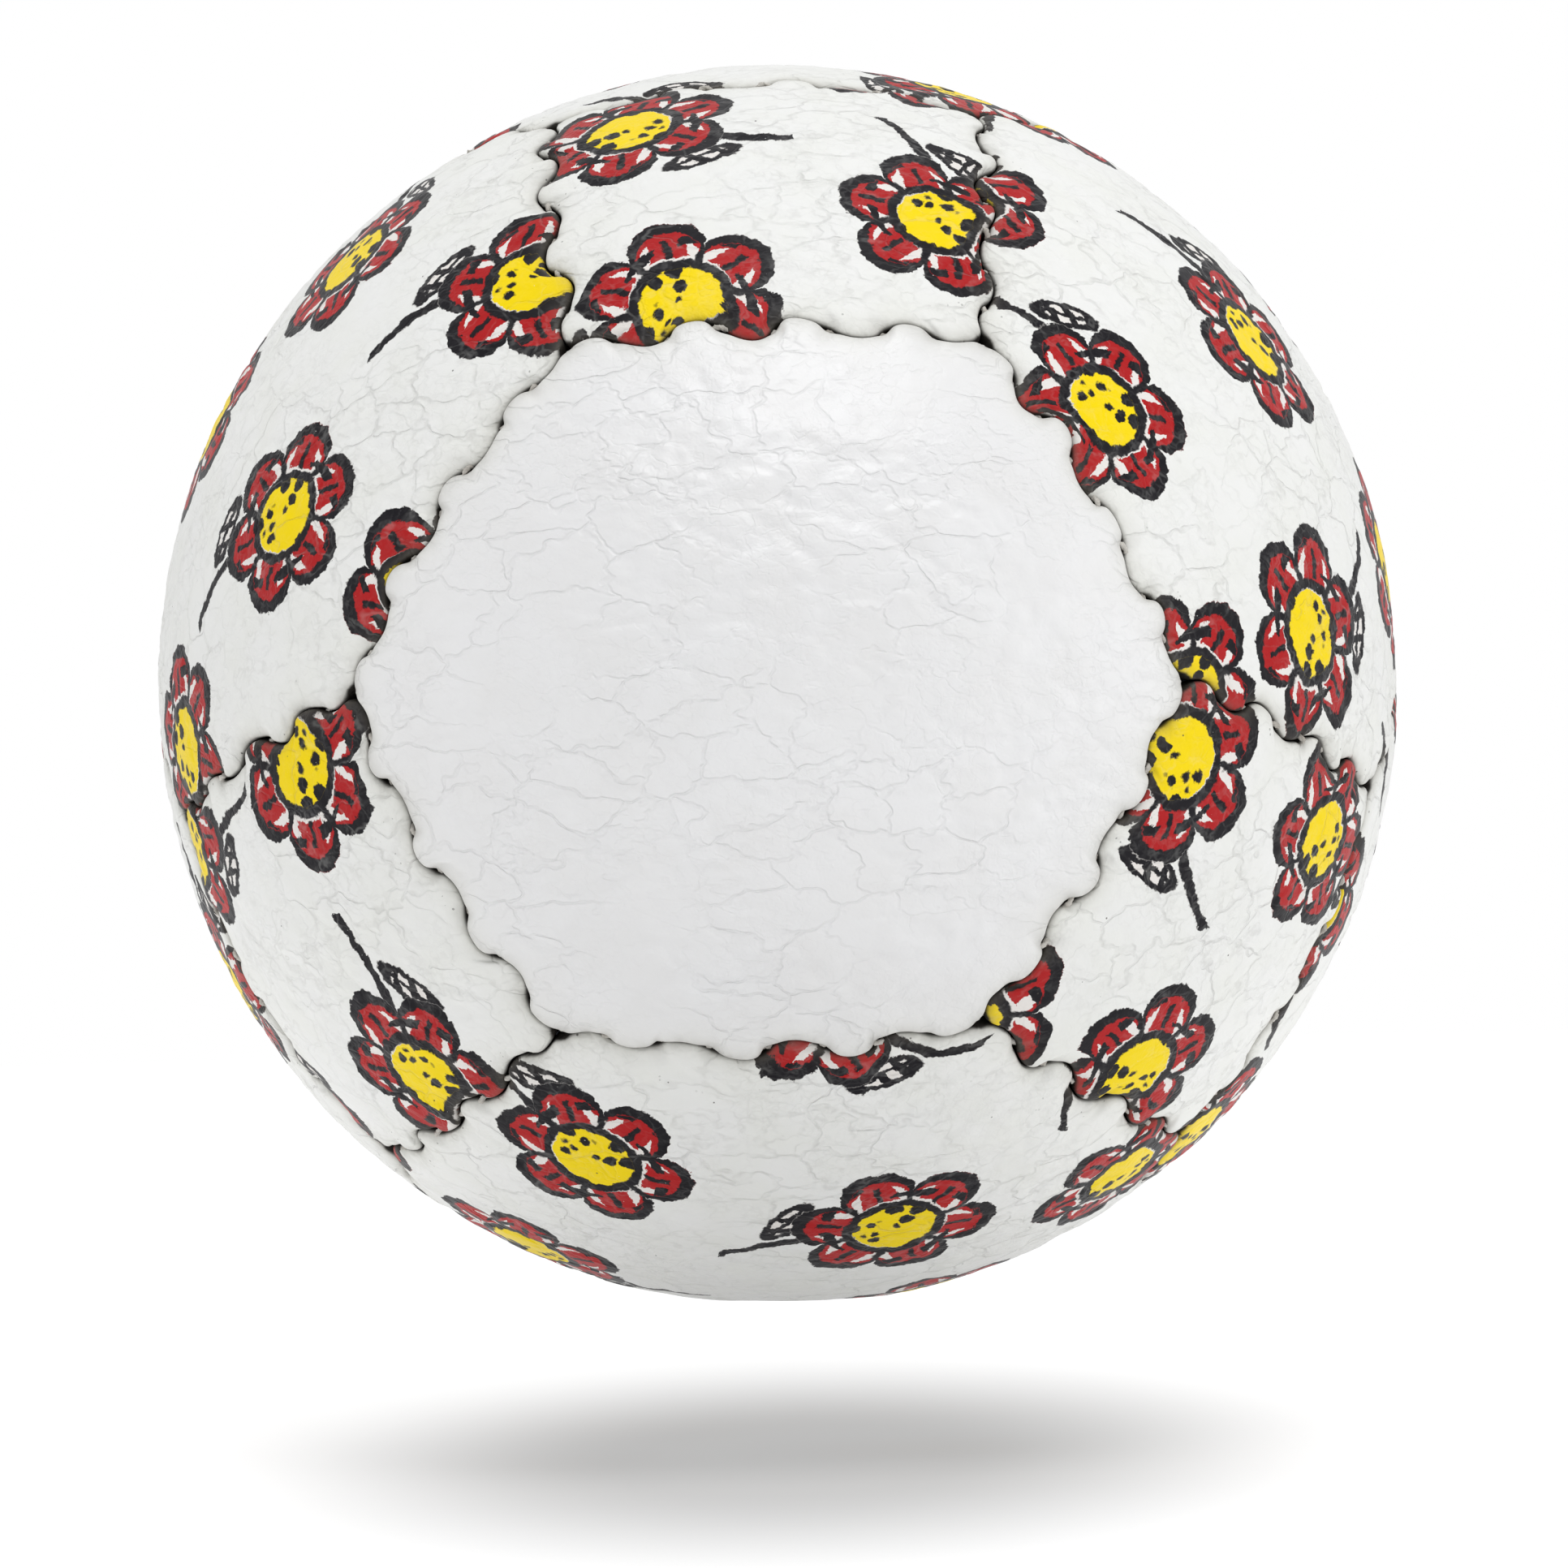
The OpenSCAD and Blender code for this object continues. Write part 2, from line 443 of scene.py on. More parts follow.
def put_attributes(mesh: bpy.types.Mesh, values: dict[str, np.ndarray]) -> None:
    """Writes a number or a vector for each vertex, under each name."""
    for name, numbers in values.items():
        kind, key = ("FLOAT", "value") if numbers.ndim == 1 else ("FLOAT_VECTOR", "vector")
        made = mesh.attributes.new(name, kind, "POINT")
        made.data.foreach_set(key, np.ascontiguousarray(numbers, np.float32).ravel())


def unit(v: np.ndarray) -> np.ndarray:
    """Vectors with length 1."""
    return v / np.linalg.norm(v, axis=-1, keepdims=True)


class Shape(Enum):
    """The two shapes of panel, with the number of their edges."""

    HEXAGON = 6
    SQUARE = 4


@dataclass(frozen=True)
class PanelPlace:
    """One panel's shape, place on the ball, and direction in the axes through the squares."""

    shape: Shape
    place: str
    direction: tuple[int, int, int]

    # Neighbours' directions lie closer than this angle, and all others' lie further apart
    NEAR = 1.4

    @property
    def label(self) -> str:
        """The panel's shape and place."""
        return f"{self.shape.name.lower()}_{self.place}"

    @property
    def node(self) -> str:
        """The name of the panel's solid."""
        return f"{self.shape.name.lower()}_panel_{self.place}"

    @property
    def is_blank(self) -> bool:
        """Whether it is the panel that faces the camera, which has no print."""
        return self.shape is Shape.HEXAGON and self.place == "front"

    @property
    def face(self) -> np.ndarray:
        """Its face's vector. Two of these differ square to the plane of their seam."""
        a, b, d = self.direction
        turned = [(b - a) / 2**0.5, -(a + b + d) / 3**0.5, (2 * d - a - b) / 6**0.5]
        return np.array(turned) / (3 if self.shape is Shape.HEXAGON else 2)

    def meets(self, other: "PanelPlace") -> bool:
        """Whether a seam joins it to another panel."""
        return other is not self and unit(self.face) @ unit(other.face) > math.cos(self.NEAR)


DIRECTIONS = {
    Shape.HEXAGON: {
        "front": (1, 1, 1),
        "front_left": (1, -1, 1),
        "front_right": (-1, 1, 1),
        "bottom": (1, 1, -1),
        "top": (-1, -1, 1),
        "rear_left": (1, -1, -1),
        "rear_right": (-1, 1, -1),
        "rear": (-1, -1, -1),
    },
    Shape.SQUARE: {
        "front_top": (0, 0, 1),
        "front_left": (1, 0, 0),
        "front_right": (0, 1, 0),
        "rear_bottom": (0, 0, -1),
        "rear_left": (0, -1, 0),
        "rear_right": (-1, 0, 0),
    },
}
PANELS = [PanelPlace(shape, *at) for shape, places in DIRECTIONS.items() for at in places.items()]


@dataclass(frozen=True)
class BallSizes:
    """The sizes that all the ball's pieces share, in mm."""

    ball_radius: float = 31.8
    settle: float = 0.5
    leather: float = 1.5
    seam_length: float = 20.46
    scallops: int = 4
    scallop_rise: float = 0.53
    scallop_lean: float = 0.12
    hand_drift: float = 0.28
    bag_radius: float = 30.25
    bag_thickness: float = 0.4
    fill_radius: float = 29.8

    # The sizes that shape a seam's line, which the panels and the threads share
    SEWN = ("scallops", "scallop_rise", "scallop_lean", "hand_drift")

    @property
    def centre_height(self) -> float:
        """The height of the ball's centre over the floor."""
        return self.ball_radius - self.settle


class HandSewing:
    """How the sewing pulls the corners of the panels off their ideal places."""

    # Where a corner is pulled from, and how far right and up, as seen from the front
    PULLS = (
        ((1.0, -1.2247, 0.0), (0.45, 0.15)),
        ((0.5, -1.2247, 0.866), (0.68, -0.4)),
        ((-0.5, -1.2247, 0.866), (1.0, -0.88)),
        ((-1.0, -1.2247, 0.0), (-0.29, 0.35)),
        ((-0.5, -1.2247, -0.866), (-0.7, 0.82)),
        ((0.5, -1.2247, -0.866), (0.0, 1.17)),
        ((-0.5, -0.4082, 1.4434), (-0.79, -0.42)),
        ((0.5, -0.4082, 1.4434), (0.62, -0.71)),
    )
    REACH = 9.0
    DRIFTS = 7
    DRIFT_SIZE = 0.16
    DRIFT_LENGTHS = (24, 46)
    SEED = 7

    def __init__(self, sizes: BallSizes) -> None:
        """Args: sizes: The ball's sizes."""
        self.sizes = sizes
        rng = np.random.default_rng(self.SEED)
        self.ways = unit(rng.normal(size=(self.DRIFTS, 3)))
        self.drifts = unit(rng.normal(size=(self.DRIFTS, 3)))
        self.lengths = rng.uniform(*self.DRIFT_LENGTHS, self.DRIFTS)
        self.starts = rng.uniform(0, TURN, self.DRIFTS)

    def pulled(self, directions: np.ndarray) -> np.ndarray:
        """Moves points along the ball's surface.

        Args:
            directions: Unit vectors from the ball's centre.

        Returns:
            Where those points are on the sewn ball, in mm from its centre.
        """
        points = directions * self.sizes.ball_radius
        moved = points.copy()
        for way, drift, length, start in zip(self.ways, self.drifts, self.lengths, self.starts):
            swing = np.sin(points @ way * TURN / length + start) * self.DRIFT_SIZE
            moved += swing[:, None] * drift
        for corner, (across, up) in self.PULLS:
            away = np.linalg.norm(points - unit(np.array(corner)) * self.sizes.ball_radius, axis=1)
            share = np.exp(-((away / self.REACH) ** 2) / 2)
            moved += share[:, None] * np.array([across, 0.0, up])
        return unit(moved) * self.sizes.ball_radius


@dataclass(frozen=True)
class Ring:
    """One ring of a panel's lattice: its distance from the seam, steps to a side, and depth."""

    across: float
    steps: int
    wall: float = 0.0


class Outline:
    """The edges of one panel: its axes, its neighbours in order, and its corners."""

    # How near a corner, in mm, a side's directions start to turn into those of the next
    CORNER_TURN = 0.8

    def __init__(self, panel: PanelPlace, sizes: BallSizes) -> None:
        """Args: panel: The panel. sizes: The ball's sizes."""
        self.panel, self.sizes = panel, sizes
        out = unit(panel.face)
        near = [p for p in PANELS if panel.meets(p)]
        side = unit(np.cross(out, near[0].face))
        self.axes = np.array([np.cross(side, out), side, out])
        local = [self.axes @ p.face for p in near]
        order = np.argsort([math.atan2(v[1], v[0]) for v in local])
        self.near = [near[i] for i in order]
        self.inward = np.array([unit(panel.face - p.face) for p in self.near])
        ends = [
            np.cross(panel.face - a.face, panel.face - b.face)
            for a, b in zip(self.near, self.near[1:] + self.near[:1])
        ]
        ends = unit(np.array(ends))
        ends *= np.sign(ends @ out)[:, None]
        self.corners = np.roll(ends, 1, axis=0)
        self.reach = math.asin(self.inward[0] @ out)

    def lattice(self, rings: list[Ring]) -> tuple[np.ndarray, dict[str, np.ndarray]]:
        """The points of a closed shell over this panel, ring by ring from its middle.

        Args:
            rings: The rings. The first and last are the middle, with no steps.

        Returns:
            The points' directions from the ball's centre, and what each point knows about the
            seam: along, across, wall, corner, inward, tangent.
        """
        sides = self.panel.shape.value
        flat = self.corners @ self.axes.T
        flat = flat[:, :2] / flat[:, 2:]
        before = np.roll(self.inward, 1, axis=0)
        mitre = (before + self.inward) / (1 + np.sum(before * self.inward, axis=1))[:, None]
        points, facts = [], []
        for ring in rings:
            angle = max(self.reach - ring.across / self.sizes.ball_radius, 0)
            share = math.tan(angle) / math.tan(self.reach)
            count = max(ring.steps, 1)
            along = np.tile(np.arange(count) / count, sides if ring.steps else 1)
            edge = np.repeat(np.arange(sides), count)[: len(along)]
            after = (edge + 1) % sides
            spot = share * (flat[edge] * (1 - along)[:, None] + flat[after] * along[:, None])
            way = unit(np.c_[spot, np.ones(len(spot))] @ self.axes)
            left = along * self.sizes.seam_length * share
            right = (1 - along) * self.sizes.seam_length * share
            nearest = np.minimum(left, right)
            turn = np.clip(1 - nearest / self.CORNER_TURN, 0, 1)[:, None] ** 2
            corner = mitre[np.where(left < right, edge, after)]
            bend = np.cross(way, self.inward[edge]) * (1 - turn)
            bend += np.cross(way, unit(corner)) * turn
            points.append(way)
            facts.append(
                {
                    "along": along,
                    "across": np.full(len(along), ring.across),
                    "wall": np.full(len(along), ring.wall),
                    "corner": nearest,
                    "inward": self.inward[edge] * (1 - turn) + corner * turn,
                    "tangent": unit(bend),
                }
            )
        return np.concatenate(points), {k: np.concatenate([f[k] for f in facts]) for k in facts[0]}

    def printed_place(self, ways: np.ndarray) -> np.ndarray:
        """Where points are on the sheet that the panels are cut from, in mm from its corner."""
        local = ways @ self.axes.T
        angle = np.arccos(np.clip(local[:, 2], -1, 1))
        flat = local[:, :2] / np.maximum(np.linalg.norm(local[:, :2], axis=1), 1e-9)[:, None]
        row, column = divmod(PANELS.index(self.panel), PrintedFlowers.CUTS)
        middle = (np.array([column, row]) + 0.5) * (PrintedFlowers.SHEET / PrintedFlowers.CUTS)
        return flat * (angle * self.sizes.ball_radius)[:, None] + middle


@cache
def zipped(a: int, b: int) -> tuple[np.ndarray, np.ndarray]:
    """Triangles between two rows of points that cover the same length.

    Args:
        a: The steps of the inner row, 0 for a single point.
        b: The steps of the outer row, 0 for a single point.

    Returns:
        Whether each corner of each triangle is on the outer row, and its number in its row.
    """
    outer, number, i, j = [], [], 0, 0
    while i < a or j < b:
        steps_out = i >= a or (j < b and (j + 1) * a <= (i + 1) * b)
        outer.append((False, True, steps_out))
        number.append((i, j, j + 1 if steps_out else i + 1))
        i, j = (i, j + 1) if steps_out else (i + 1, j)
    return np.array(outer), np.array(number)


def lattice_faces(rings: list[Ring], sides: int) -> np.ndarray:
    """The triangles of a lattice.

    Args:
        rings: The lattice's rings.
        sides: The panel's sides.

    Returns:
        Triples of vertex numbers, seen counterclockwise from outside.
    """
    starts = np.cumsum([0] + [max(r.steps * sides, 1) for r in rings])
    faces = []
    for n, (a, b) in enumerate(zip(rings, rings[1:])):
        outer, number = zipped(a.steps, b.steps)
        steps = np.where(outer, b.steps, a.steps)
        start = np.where(outer, starts[n + 1], starts[n])
        whole = np.maximum(steps * sides, 1)
        faces += [start + (side * steps + number) % whole for side in range(sides)]
    return np.concatenate(faces)


class SeamWave:
    """The scalloped line that both panels and the thread of a seam follow."""

    # How far from a corner the line is calm, how short a notch is, and how steep the flanks are
    CORNER_REACH = 1.6
    NOTCH_POWER = 6.0
    STEEPNESS = 0.45
    # How much the lobes differ in height, over what length, and the same of the hand's drift
    UNEVEN = 0.7
    UNEVEN_SIZE = 4.0
    DRIFT_SIZE = 3.2
    DRIFT_PLACE = (31.0, 17.0, 5.0)

    @classmethod
    @cache
    def group(cls) -> bpy.types.NodeTree:
        """The node group, which is built once. Seen from either panel it gives the same line."""
        board = Board.group(
            "seam_wave",
            {
                "Seam Point": ORIGIN,
                "Along": 0.0,
                "Inward": (0.0, 0.0, 1.0),
                "Tangent": (1.0, 0.0, 0.0),
                **inputs_of(BallSizes, *BallSizes.SEWN, "seam_length"),
            },
            {
                "Shift": Kind.VECTOR,
                "Drift": Kind.VECTOR,
                "Normal": Kind.VECTOR,
                "Notch": Kind.NUMBER,
                "Lobe": Kind.NUMBER,
            },
            "GeometryNodeTree",
        )
        t = board.takes
        pitch = t["Scallops"] * TURN
        swing = (t["Along"] * pitch).wave()
        slope = (t["Along"] * pitch).wave("COSINE")
        # The line runs straight into a corner, where three seams meet
        corner = (1.0 - (t["Along"] * 2.0 - 1.0).size()) * t["Seam Length"] * 0.5
        calm = 1.0 - corner.fall(cls.CORNER_REACH)
        notch = (slope * slope).power(cls.NOTCH_POWER) * calm
        # Rounder lobes, and steeper flanks where the stitches pull
        steep = swing.size() * cls.STEEPNESS + 1.0
        slope = slope * calm * (1.0 + cls.STEEPNESS) / (steep * steep)
        swing = swing * calm * (1.0 + cls.STEEPNESS) / steep
        uneven = board.noise(t["Seam Point"], cls.UNEVEN_SIZE)
        rise = t["Scallop Rise"] * (uneven * cls.UNEVEN + 1.0)
        drift = board.noise(t["Seam Point"] + cls.DRIFT_PLACE, cls.DRIFT_SIZE, threefold=True)
        shift = t["Inward"] * (swing * rise) + t["Tangent"] * (swing * t["Scallop Lean"])
        down = slope * rise * pitch / t["Seam Length"]
        over = 1.0 - slope * t["Scallop Lean"] * pitch / t["Seam Length"]
        long = (down * down + over * over).power(0.5)
        normal = t["Inward"] * (over / long) + t["Tangent"] * (down / long)
        lobe = (-swing).most(0.0)
        return board.give(
            Shift=shift, Drift=drift * t["Hand Drift"], Normal=normal, Notch=notch, Lobe=lobe
        )

    @classmethod
    def on(cls, board: Board, seam_point: Wire, sizes: BallSizes) -> dict[str, Wire]:
        """The line's shift, drift, normal, notch and lobe at a point of a seam, in a tree."""
        takes = {
            "Seam Point": seam_point,
            "Along": board.read("along"),
            "Inward": board.read("inward", "FLOAT_VECTOR"),
            "Tangent": board.read("tangent", "FLOAT_VECTOR"),
            **{name: board.takes[name] for name in inputs_of(sizes, *sizes.SEWN)},
            "Seam Length": sizes.seam_length,
        }
        return board.place(cls.group(), takes)


class LeatherCreases:
    """The creases of the leather, which its mesh and its finish share."""

    # The size of the cells that the creases and the wrinkles bound, and how they are drawn out
    CREASE_CELL = 2.9
    WRINKLE_CELL = 1.3
    DRAWN_OUT = (0.75, 1.0, 1.2)
    # The size of the patches in which each is faint
    CREASE_PATCH = 8.0
    WRINKLE_PATCH = 4.5

    @staticmethod
    def lines(board: Board, place: Wire, cell: float, width: float, offset: float) -> Wire:
        """Lines such as leather creases along, which bound irregular cells.

        Args:
            board: The tree that they are wired in.
            place: Where they are read, in mm.
            cell: The size of the cells, in mm.
            width: The width of a line's shoulder, in cells.
            offset: Moves the pattern, so that two networks differ.

        Returns:
            1 on a line, falling to 0 beside it.
        """
        bend = board.noise(place, cell * 1.1, 3.0, 0.6, threefold=True) * (cell * 0.7)
        edge = board.cells(place + (offset, 0.0, offset) + bend, cell, "DISTANCE_TO_EDGE")[0]
        return edge.ramp(0.0, width, 1.0, 0.0)

    @classmethod
    def both(cls, board: Board, place: Wire, broad: float, narrow: float) -> tuple[Wire, Wire]:
        """The broad creases of the leather and the wrinkles between them.

        Args:
            board: The tree that they are wired in.
            place: Where they are read, in mm.
            broad: The width of a broad crease's shoulder, in cells.
            narrow: The same for a wrinkle.

        Returns:
            Both, each 1 on its lines and 0 beside them, and faint where the leather is smoother.
        """
        drawn = place * cls.DRAWN_OUT
        lines = cls.lines(board, drawn, cls.CREASE_CELL, broad, 0.0)
        lines = lines * board.noise(place, cls.CREASE_PATCH).ramp(-0.5, 0.2, 0.15, 1.0)
        fine = cls.lines(board, drawn, cls.WRINKLE_CELL, narrow, 40.0)
        fine = fine * board.noise(place + (0.0, 0.0, 20.0), cls.WRINKLE_PATCH).ramp(-0.3, 0.35)
        return lines, fine


@dataclass(frozen=True)
class PanelRelief:
    """The relief of the leather in mm, and how far from the seam each part of it reaches."""

    lip_radius: float = 0.26
    seam_gap: float = 0.08
    notch_gap: float = 0.27
    corner_gap: float = 0.2
    gap_change: float = 0.7
    gap_reach: float = 0.9
    corner_reach: float = 0.45
    scallop_reach: float = 2.3
    valley_depth: float = 0.2
    valley_reach: float = 0.8
    pucker: float = 0.16
    pucker_reach: float = 0.8
    lobe_puff: float = 0.08
    lobe_middle: float = 0.7
    lumps: float = 0.14
    lump_size: float = 6.5
    creases: float = 0.09


@dataclass
class LeatherPanels:
    """The fourteen leather panels of the cover."""

    sizes: BallSizes
    sewing: HandSewing
    relief: PanelRelief = field(default_factory=PanelRelief)
    blank_lip_radius: float = 0.2
    blank_valley_depth: float = 0.04
    steps: int = 128
    ring_spacing: float = 0.15
    roll_steps: int = 9
    wall_steps: tuple[float, ...] = (0.2, 0.45, 0.7, 1.0)
    under_spacing: tuple[float, float] = (1.0, 2.5)

    # What each point tells the finish: how far the seam is, and how near a stitch or a corner
    ATTRIBUTES = ("seam_distance", "seam_notch")
    # From how far the scallops die out towards a corner, and how much sooner further in
    CALM_REACH = 0.35
    CALM_INWARD = 0.9
    # The size of the patches over which a seam's gap changes, and where they are read
    GAP_PATCH = 1.7
    GAP_PLACE = (3.0, 41.0, 9.0)
    # The finer lumps, and their height beside the larger ones
    FINE_LUMP = 2.2
    FINE_SHARE = 0.35
    # The widths of creases and wrinkles, in cells, and the wrinkles' height beside the creases
    CREASE_WIDTHS = (0.26, 0.3)
    WRINKLE_SHARE = 0.35
    # How far from a seam the leather is pulled smooth, and how much of its relief that takes
    SMOOTH_REACH = 0.8
    SMOOTH_SHARE = 0.8
    # How softly the leather rounds into the flat that the ball rests on
    REST_ROUND = 0.12

    def rings(self, reach: float) -> list[Ring]:
        """The rings of a panel's lattice from the middle of its face, over the lip, down the
        wall, and back to the middle underneath.

        Args:
            reach: The distance from the middle to an edge, in mm.

        Returns:
            The rings.
        """
        lip, steps = self.relief.lip_radius, self.steps
        rolled = [lip * (1 - math.cos(b)) for b in np.linspace(0, math.pi / 2, self.roll_steps)]
        inner = np.arange(lip + 0.1, reach - self.ring_spacing * 0.6, self.ring_spacing)
        across = sorted([*rolled, *inner], reverse=True)
        top = [
            Ring(a, max(2, round(steps * (1 - a / reach))) if a > lip else steps) for a in across
        ]
        wall = [Ring(0.0, steps, depth) for depth in self.wall_steps]
        under = [Ring(a, steps // 2**n, 1.0) for n, a in enumerate(self.under_spacing, 1)]
        under += [Ring(a, 12, 1.0) for a in np.linspace(4.5, reach * 0.6, 4)]
        under += [Ring(reach * 0.8, 6, 1.0), Ring(reach, 0, 1.0)]
        return [Ring(reach, 0), *top, *wall, *under]

    def tree(self) -> bpy.types.NodeTree:
        """The geometry tree that shapes a flat lattice into a sewn leather panel."""
        s = self.sizes
        sizes = inputs_of(s, "ball_radius", "centre_height", "leather", *s.SEWN)
        board = Board.for_mesh("leather_panel", {**sizes, **inputs_of(self.relief)})
        t = board.takes
        across, wall, corner = (board.read(name) for name in ("across", "wall", "corner"))
        inward, seam_point = (board.read(name, "FLOAT_VECTOR") for name in ("inward", "seam_point"))
        wave = SeamWave.on(board, seam_point, s)
        gap = t["Seam Gap"] * 0.5 + wave["Notch"] * (t["Notch Gap"] - t["Seam Gap"]) * 0.5
        uneven = board.noise(seam_point + self.GAP_PLACE, self.GAP_PATCH)
        gap = gap * (uneven * t["Gap Change"] + 1.0)
        gap = gap + corner.hump(t["Corner Reach"]) * t["Corner Gap"]
        # Further in the scallops die out at a corner, where two sides' scallops meet
        calm = corner + self.CALM_REACH
        calm = calm / (corner + across * self.CALM_INWARD + self.CALM_REACH)
        scallop = (wave["Shift"] * calm + wave["Drift"]) * across.hump(t["Scallop Reach"])
        moved = board.here() + scallop
        moved = moved + (wave["Normal"] - inward) * (across * across.hump(t["Gap Reach"]) * calm)
        outward = (moved + wave["Normal"] * (gap * across.fall(t["Gap Reach"]))).unit()
        lean = (1.0 - across / t["Lip Radius"]).most(0.0)
        drop = t["Lip Radius"] * (1.0 - (1.0 - lean * lean).power(0.5))
        drop = drop + t["Valley Depth"] * across.fall(t["Valley Reach"])
        drop = drop + t["Pucker"] * wave["Notch"] * across.hump(t["Pucker Reach"])
        puff = t["Lobe Puff"] * wave["Lobe"] * (across - t["Lobe Middle"]).hump(t["Pucker Reach"])
        seen = outward * t["Ball Radius"]
        lumps = board.noise(seen / t["Lump Size"], 1.0, 1.0) * t["Lumps"]
        lumps = lumps + board.noise(seen, self.FINE_LUMP, 2.0) * t["Lumps"] * self.FINE_SHARE
        lines, fine = LeatherCreases.both(board, seen, *self.CREASE_WIDTHS)
        relief = lumps - t["Creases"] * (lines + fine * self.WRINKLE_SHARE)
        relief = relief * (1.0 - across.fall(self.SMOOTH_REACH) * self.SMOOTH_SHARE)
        radius = t["Ball Radius"] - drop + puff + relief
        radius = board.blend(wall, radius, t["Ball Radius"] - t["Leather"])
        x, y, z = (outward * radius).parts()
        z = z + t["Centre Height"]
        z = board.math("SMOOTH_MAX", z, wall * t["Leather"], self.REST_ROUND)
        mesh = board.moved(t["Geometry"], board.join(x, y, z))
        notch = wave["Notch"] * 0.5 + corner.hump(0.5)
        for name, value in zip(self.ATTRIBUTES, (across - wall, notch)):
            takes = {"Geometry": mesh, "Name": name, "Value": value}
            mesh = board.made("GeometryNodeStoreNamedAttribute", takes)
        return board.finish_mesh(mesh)

    def put_print_place(self, mesh: bpy.types.Mesh, outline: Outline, sewn: np.ndarray) -> None:
        """Gives a panel's mesh its place on the printed sheet, as UVs.

        Args:
            mesh: The mesh.
            outline: The panel's outline.
            sewn: The mesh's points on the ball, in mm.
        """
        flat = outline.printed_place(unit(sewn)) / PrintedFlowers.SHEET
        layer = mesh.uv_layers.new(name="print_place")
        corners = np.empty(len(mesh.loops), np.int32)
        mesh.loops.foreach_get("vertex_index", corners)
        layer.uv.foreach_set("vector", flat[corners].astype(np.float32).ravel())

    def build(
        self, blank: tuple[bpy.types.Material, str], printed: tuple[bpy.types.Material, str]
    ) -> Iterator[bpy.types.Object]:
        """Makes the panels.

        Args:
            blank: The material of the blank panel, and a slot, which is not used.
            printed: The same for the printed panels.

        Yields:
            Each panel's object.
        """
        tree = self.tree()
        rings, faces = {}, {}
        for panel in PANELS:
            outline = Outline(panel, self.sizes)
            shape = panel.shape
            if shape not in rings:
                rings[shape] = self.rings(outline.reach * self.sizes.ball_radius)
                faces[shape] = lattice_faces(rings[shape], shape.value).tolist()
            ways, facts = outline.lattice(rings[shape])
            sewn = self.sewing.pulled(ways)
            obj = new_object(f"leather_{panel.label}", sewn, faces[shape])
            put_attributes(obj.data, {**facts, "seam_point": sewn})
            self.put_print_place(obj.data, outline, sewn)
            material, slot = blank if panel.is_blank else printed
            takes = {"Material": material}
            if panel.is_blank:
                takes["Valley Depth"] = self.blank_valley_depth
                takes["Lip Radius"] = self.blank_lip_radius
            formed(obj, tree, takes, self.ATTRIBUTES)
            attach(obj, BODY)
            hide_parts(panel.node)
            yield obj


